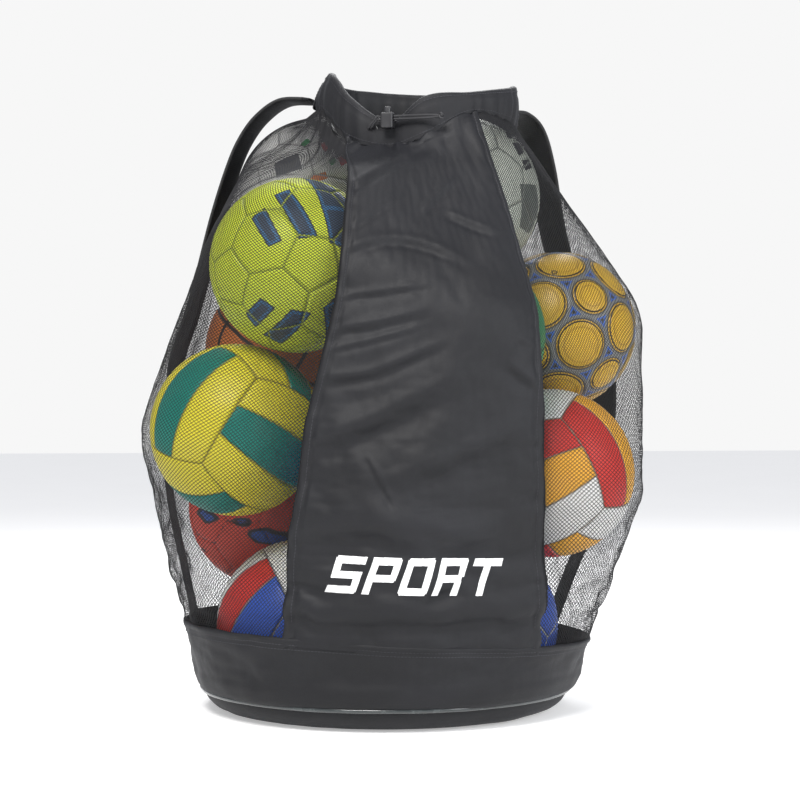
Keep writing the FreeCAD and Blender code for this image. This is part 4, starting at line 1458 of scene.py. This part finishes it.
STRIP_LINES = [0.0, 0.025, 0.06, 0.12, 0.2, 0.3, 0.4, 0.5, 0.6, 0.7, 0.8, 0.88, 0.94, 0.975]


def volleyball(name, angles, colours, groove_colour):
    """Ball of 18 strips, three to each side of a cube; colours has 18 entries."""
    lines = []
    for strip_number in range(3):
        lines += [-1 + (strip_number + t) * 2 / 3 for t in STRIP_LINES]
    lines.append(1.0)
    directions, faces = cube_sphere(lines)
    _, radius = BALLS[name]
    flat = np.asarray(lines)
    third = np.abs(((flat + 1) * 1.5) - np.round((flat + 1) * 1.5)) * (2 / 3)
    whole = np.minimum(1 - flat, 1 + flat)
    to_strip, to_edge = np.meshgrid(third, whole, indexing="ij")
    gap = np.tile(np.minimum(to_strip, to_edge).ravel(), 6) * math.pi / 4
    lift = -0.0012 * bell(gap * radius / 0.0018)
    n = Nodes("skin_" + name)
    colour = n.mix(n.under(n.field("seam"), 0.006, 0.013), n.field("tint", "Color"), groove_colour)
    material = leather(n, colour, 0.4, n.ramp(n.field("seam"), 0.0, 0.03))
    thing = ball_object(name, directions @ rotation(angles).T, faces, radius, material, lift)
    float_attribute(thing, "seam", gap)
    cells = len(lines) - 1
    strip_of = np.repeat(np.minimum(np.arange(cells) // len(STRIP_LINES), 2), cells)
    shade = np.ones((6 * cells * cells, 4), np.float32)
    for side in range(6):
        block = slice(side * cells * cells, (side + 1) * cells * cells)
        shade[block, :3] = np.array(colours, float)[side * 3 + strip_of]
    tint = thing.data.attributes.new("tint", "FLOAT_COLOR", "CORNER")
    tint.data.foreach_set("color", np.repeat(shade, 4, 0).ravel())


# Radius and height over the ball's skin, from the rim to the needle's hole.
VALVE_PROFILE = ((0.0042, -0.0010), (0.0040, 0.0003), (0.0032, 0.0005), (0.0012, 0.0003), (0.0008, -0.0020))


def valve(name, direction):
    """Small rubber valve set in a ball's skin."""
    centre, radius = BALLS[name]
    direction = unit(np.array(direction, float))
    side = unit(np.cross(direction, [0.3, 0.2, 0.9]))
    up = np.cross(side, direction)
    angle = np.linspace(0, 2 * math.pi, 24, endpoint=False)
    rings = []
    for r, h in VALVE_PROFILE:
        rings.append(
            centre + direction * (radius + h)
            + r * (np.cos(angle)[:, None] * side + np.sin(angle)[:, None] * up)
        )
    points = np.stack(rings, 1)
    faces = grid_faces(len(angle), len(VALVE_PROFILE), True)
    make_mesh("valve_" + name, points.reshape(-1, 3), faces, MATERIALS["valve"])


YELLOW, TEAL, RED, WHITE = (0.80, 0.70, 0.03), (0.0, 0.22, 0.17), (0.62, 0.03, 0.02), (0.78, 0.78, 0.76)
BLUE, ORANGE, AMBER, NAVY = (0.03, 0.10, 0.50), (0.60, 0.16, 0.02), (0.85, 0.42, 0.03), (0.01, 0.015, 0.03)
LIME = (0.62, 0.72, 0.03)
LEAF = (0.02, 0.3, 0.08)
BLACK = (0.02, 0.02, 0.025)
DARK_SEAM = (0.2, 0.2, 0.2)
FINE, COARSE = ((7, 6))

HANDBALL_PATCHES = [
    [(-0.290, 0.739), (-0.155, 0.799), (0.118, 0.272), (-0.059, 0.247)],
    [(-0.551, 0.473), (-0.431, 0.573), (-0.276, 0.214), (-0.393, 0.160)],
    [(-0.607, -0.580), (-0.470, -0.434), (-0.339, -0.522), (-0.514, -0.710)],
    [(-0.398, -0.808), (-0.133, -0.555), (0.056, -0.587), (-0.226, -0.895)],
    [(0.070, 0.975), (0.420, 0.830), (0.560, 0.560), (0.215, 0.597)],
    [(0.215, 0.597), (0.560, 0.560), (0.620, 0.060), (0.285, 0.210)],
    [(0.232, -0.520), (0.520, -0.250), (0.640, -0.600), (0.300, -0.880)],
]

# Colours of the plain patches on the two white balls, and each colour's patches.
LEFT_SPOTS = [
    (NAVY, [
        [(-0.62, 0.38), (-0.34, 0.50), (-0.30, 0.30), (-0.60, 0.20)],
        [(0.10, 0.66), (0.24, 0.74), (0.30, 0.55), (0.16, 0.50)],
        [(0.30, 0.42), (0.46, 0.50), (0.50, 0.30), (0.34, 0.24)],
    ]),
    (ORANGE, [
        [(-0.20, 0.20), (-0.02, 0.26), (0.0, 0.18), (-0.18, 0.12)],
    ]),
    (LEAF, [
        [(-0.30, 0.62), (-0.22, 0.70), (-0.18, 0.66), (-0.26, 0.58)],
        [(0.02, 0.40), (0.08, 0.46), (0.12, 0.40), (0.06, 0.34)],
    ]),
    (RED, [
        [(-0.06, 0.62), (0.08, 0.70), (0.10, 0.58), (-0.02, 0.52)],
        [(0.14, 0.44), (0.26, 0.50), (0.28, 0.40), (0.18, 0.34)],
        [(-0.74, 0.10), (-0.62, 0.14), (-0.62, 0.04), (-0.74, 0.0)],
    ]),
]
RIGHT_SPOTS = [
    ((0.03, 0.03, 0.035), [
        [(0.56, 0.62), (0.70, 0.66), (0.72, 0.52), (0.62, 0.46)],
        [(0.66, 0.40), (0.80, 0.44), (0.82, 0.34), (0.70, 0.28)],
        [(0.50, 0.78), (0.58, 0.80), (0.60, 0.70), (0.52, 0.68)],
    ]),
    ((0.14, 0.16, 0.14), [
        [(0.60, 0.10), (0.86, 0.12), (0.92, -0.18), (0.80, -0.46), (0.62, -0.40)],
    ]),
]

# The gold ball's rings, by angle from a round patch's rim: where a colour starts or ends, and the colour.
GOLD_OUTSIDE = [
    (0.058, 0.063, (0.05, 0.15, 0.55)),
    (0.076, 0.081, (0.10, 0.105, 0.11)),
    (0.087, 0.092, (0.02, 0.02, 0.022)),
]
GOLD_INSIDE = [
    (0.010, 0.030, (0.06, 0.06, 0.06)),
    (0.0, 0.005, (0.62, 0.38, 0.04)),
    (-0.018, -0.013, (0.012, 0.012, 0.014)),
    (-0.036, -0.031, (0.78, 0.48, 0.035)),
]


def yellow_handball():
    def paint(n):
        field = n.field("patch")
        tone = n.mix(n.under(field, 0.016, 0.022), LIME, (0.02, 0.03, 0.04))
        tone = n.mix(n.under(field, 0.0, 0.006), tone, (0.03, 0.13, 0.28))
        return n.mix(n.under(field, -0.034, -0.028), tone, (0.025, 0.05, 0.09))

    thing, directions = panelled_ball(
        "ball_handball_yellow", FINE, (15, 20, 40), paint, (0.30, 0.36, 0.02), "ball_lime"
    )
    float_attribute(thing, "patch", patch_field(directions, HANDBALL_PATCHES))


def volleyballs():
    red_side = [RED, AMBER, WHITE, RED, AMBER, WHITE, WHITE, AMBER, RED]
    white_side = [WHITE, RED, BLUE, WHITE, RED, BLUE, BLUE, RED, WHITE]
    blue_side = [BLUE, RED, WHITE, WHITE, RED, BLUE, BLUE, RED, WHITE]
    blue_strips = [BLUE, BLUE, (0.65, 0.6, 0.1)] * 2 + [BLUE] * 12
    teal = [YELLOW, TEAL, YELLOW] * 6
    volleyball("ball_volley_teal", (18, 28, 38), teal, (0.35, 0.30, 0.03))
    volleyball("ball_volley_red", (10, -24, -30), red_side * 2, (0.25, 0.2, 0.15))
    tricolour = white_side + blue_side
    volleyball("ball_volley_tricolour", (30, 12, 20), tricolour, DARK_SEAM)
    volleyball("ball_blue", (25, 35, 10), blue_strips, (0.6, 0.6, 0.5))


def gold_football():
    """Ball of 32 round gold patches with dark and blue rings between them."""
    name = "ball_football_gold"
    directions, faces = icosphere(FINE)
    local = turned(directions, (34, 14, 8))
    five = np.arccos(np.clip(local @ PENTAGONS.T, -1, 1)) - 0.238
    six = np.arccos(np.clip(local @ HEXAGONS.T, -1, 1)) - 0.318
    gap = np.minimum(five.min(1), six.min(1))
    facet = np.where(gap < -0.05, np.abs(gap + 0.095), 1.0)
    _, radius = BALLS[name]
    lift = -0.0009 * bell((gap - 0.004) * radius / 0.0022) + 0.0004 * np.clip(-gap / 0.05, 0, 1)
    n = Nodes("skin_" + name)
    socket = n.field("gap")
    tone = (0.22, 0.225, 0.22)
    for low, high, colour in GOLD_OUTSIDE:
        tone = n.mix(n.ramp(socket, low, high), tone, colour)
    for low, high, colour in GOLD_INSIDE:
        tone = n.mix(n.under(socket, low, high), tone, colour)
    line = n.math("MULTIPLY", n.under(n.field("facet"), 0.006, 0.016), 0.55)
    material = leather(n, n.mix(line, tone, (0.30, 0.15, 0.01)), 0.26)
    thing = ball_object(name, directions, faces, radius, material, lift)
    float_attribute(thing, "gap", gap)
    float_attribute(thing, "facet", facet)


def spotted_ball(name, angles, ground, groove_colour, spots):
    def paint(n):
        tone = ground
        for number, (colour, _) in enumerate(spots):
            tone = n.mix(n.under(n.field("spot%d" % number), 0.0, 0.006), tone, colour)
        return tone

    thing, directions = panelled_ball(name, FINE, angles, paint, groove_colour, "ball_white")
    for number, (_, patches) in enumerate(spots):
        float_attribute(thing, "spot%d" % number, patch_field(directions, patches))


def flames(n):
    swirl = n.noise(14.0, 1.0, (1.0, 1.0, 2.2))
    tone = n.mix(n.ramp(swirl, 0.55, 0.57), (0.62, 0.05, 0.02), (0.012, 0.012, 0.02))
    return n.mix(n.ramp(swirl, 0.60, 0.62), tone, (0.02, 0.08, 0.35))


def pentagons(hexagon, pentagon):
    """Paint for a 32-panel ball whose pentagons have a colour of their own."""
    return lambda n: n.mix(n.ramp(n.field("kind"), -0.002, 0.002), hexagon, pentagon)


def basketball():
    name = "ball_basketball"
    directions, faces = icosphere(FINE)
    x, y, z = turned(directions, (20, 30, 10)).T
    seam = np.minimum(np.abs(x), np.abs(z))
    curve = np.abs(np.abs(y) - (0.42 + 0.35 * z * z)) * 0.9
    seam = np.minimum(seam, curve)
    _, radius = BALLS[name]
    lift = -0.0014 * bell(seam * radius / 0.0030)
    n = Nodes("skin_" + name)
    colour = n.mix(n.under(n.field("seam"), 0.018, 0.026), (0.55, 0.16, 0.03), (0.02, 0.015, 0.012))
    material = leather(n, colour, 0.6, None, 300.0, 0.0005)
    thing = ball_object(name, directions, faces, radius, material, lift)
    float_attribute(thing, "seam", seam)


def build_balls():
    yellow_handball()
    volleyballs()
    gold_football()
    spotted_ball("ball_white_left", (30, 10, 0), WHITE, (0.3, 0.3, 0.3), LEFT_SPOTS)
    spotted_ball("ball_white_right", (10, 35, 15), (0.58, 0.62, 0.54), (0.25, 0.27, 0.24), RIGHT_SPOTS)
    for panelled in (
        ("ball_red", COARSE, (5, 40, 70), flames, (0.1, 0.02, 0.02), "ball_red"),
        ("ball_green", FINE, (0, 30, 12), (0.03, 0.28, 0.12), (0.01, 0.06, 0.03), "ball_green"),
        ("ball_back_low", COARSE, (20, 10, 55), pentagons(WHITE, BLACK), DARK_SEAM, "ball_white"),
        ("ball_front_mid", COARSE, (0, 15, 30), (0.04, 0.14, 0.5), (0.02, 0.05, 0.2), "ball_blue"),
        ("ball_back_up", COARSE, (50, 15, 10), pentagons(LIME, NAVY), (0.3, 0.36, 0.02), "ball_lime"),
        ("ball_small", COARSE, (5, 5, 25), pentagons(WHITE, BLACK), DARK_SEAM, "ball_white"),
    ):
        panelled_ball(*panelled)
    basketball()
    for name, direction in (
        ("ball_handball_yellow", (0.75, -0.5, 0.1)),
        ("ball_football_gold", (-0.2, -0.7, 0.7)),
        ("ball_white_left", (0.3, 0.2, 0.95)),
        ("ball_white_right", (-0.3, 0.2, 0.9)),
        ("ball_back_up", (0.2, 0.9, 0.2)),
        ("ball_back_low", (0.1, 0.9, 0.3)),
        ("ball_basketball", (-0.3, 0.9, 0.1)),
        ("ball_small", (0.6, 0.8, 0.0)),
        ("ball_red", (-0.6, 0.75, 0.0)),
        ("ball_green", (0.6, -0.5, 0.6)),
        ("ball_front_mid", (0.5, -0.8, 0.2)),
    ):
        valve(name, direction)


# ---------------------------------------------------------------- CAD pieces that keep their shape


def build_spring():
    """Coil under the plunger, built at one fixed length; on the real lock it shortens as the plunger goes in.
    """
    low, high = (np.array(v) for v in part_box("cord_lock_spring"))
    middle = (low + high) / 2
    t = np.linspace(0, 1, 120)
    angle = t * 2 * math.pi * SPRING_TURNS
    rise = low[2] + SPRING_WIRE + t * (high[2] - low[2] - 2 * SPRING_WIRE)
    x = middle[0] + SPRING_RADIUS * np.cos(angle)
    y = middle[1] + SPRING_RADIUS * np.sin(angle)
    line = np.stack([x, y, rise], 1)
    coil = tube("lock_spring_coil", line, SPRING_WIRE, MATERIALS["spring"], "cord_lock", around=8)
    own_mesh(coil)
    stand_for(coil, "spring_steel", "cord_lock_spring")


def dress_hard_parts():
    finishes = {
        "eyelet": "nickel", "eyelet_washer": "nickel", "cord_lock_body": "lock", "cord_lock_button": "lock",
        "strap_adjuster_left": "lock", "strap_adjuster_right": "lock",
    }
    for node, material in finishes.items():
        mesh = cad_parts[node].data
        mesh.materials.clear()
        mesh.materials.append(MATERIALS[material])


# ---------------------------------------------------------------- floor, light and camera


FLOOR_HALF = 12.0
# Soft boxes: place, size, power and colour. All point at the middle of the bag.
SOFT_BOXES = (
    ((-0.9, -1.9, 2.5), 1.1, 105, (1.0, 0.98, 0.96)),
    ((1.9, -1.9, 1.3), 1.2, 42, (0.96, 0.98, 1.0)),
    ((0.3, 1.8, 2.4), 1.4, 50, (1.0, 1.0, 1.0)),
)
LIGHT_AIM = Vector((0, 0, 0.4))


def build_stage():
    n = Nodes("floor_paper")
    paper = n.mix(n.ramp(n.noise(3.0), 0.3, 0.7), (0.80, 0.80, 0.80), (0.82, 0.82, 0.82))
    n.finish(paper, 0.9, Emission_Color=(0.96, 0.96, 0.96), Emission_Strength=0.40, Specular_IOR_Level=0.1)
    corners = [(x * FLOOR_HALF, y * FLOOR_HALF, 0) for x, y in ((-1, -1), (1, -1), (1, 1), (-1, 1))]
    floor = make_mesh("floor", corners, [[0, 1, 2, 3]], n.material, body=None, smooth=False)
    floor.location.z = -0.0005
    world = bpy.data.worlds.new("studio")
    world.use_nodes = True
    light_path = world.node_tree.nodes.new("ShaderNodeLightPath")
    shade = world.node_tree.nodes.new("ShaderNodeMix")
    shade.data_type = "RGBA"
    shade.inputs[6].default_value = (0.50, 0.51, 0.54, 1.0)
    shade.inputs[7].default_value = (0.93, 0.93, 0.93, 1.0)
    world.node_tree.links.new(light_path.outputs["Is Camera Ray"], shade.inputs[0])
    world.node_tree.links.new(shade.outputs[2], world.node_tree.nodes["Background"].inputs["Color"])
    bpy.context.scene.world = world
    bpy.context.scene.view_settings.view_transform = "Standard"
    for place, size, power, colour in SOFT_BOXES:
        light = bpy.data.lights.new("soft_box", "AREA")
        light.size = size
        light.energy = power
        light.color = colour
        lamp = bpy.data.objects.new("soft_box", light)
        bpy.context.scene.collection.objects.link(lamp)
        lamp.location = place
        lamp.rotation_euler = (LIGHT_AIM - Vector(place)).to_track_quat("-Z", "Y").to_euler()


CAMERA_LENS = 89.1
CAMERA_TURN = 8.6
CAMERA_DISTANCE = 2.5
CAMERA_ASIDE = 0.0177
CAMERA_HEIGHT = 0.384


def build_camera():
    data = bpy.data.cameras.new("camera")
    data.lens = CAMERA_LENS
    data.sensor_width = 36.0
    data.clip_end = 50
    camera = bpy.data.objects.new("camera", data)
    bpy.context.scene.collection.objects.link(camera)
    angle = math.radians(CAMERA_TURN)
    right = Vector((math.cos(angle), -math.sin(angle), 0))
    ahead = Vector((math.sin(angle), math.cos(angle), 0))
    camera.location = right * CAMERA_ASIDE - ahead * CAMERA_DISTANCE + Vector((0, 0, CAMERA_HEIGHT))
    camera.rotation_euler = ahead.to_track_quat("-Z", "Y").to_euler()
    bpy.context.scene.camera = camera


build_base()
build_band()
build_print(*build_panel())
build_net()
build_collar()
build_cords()
build_straps()
build_balls()
build_spring()
dress_hard_parts()
build_stage()
build_camera()
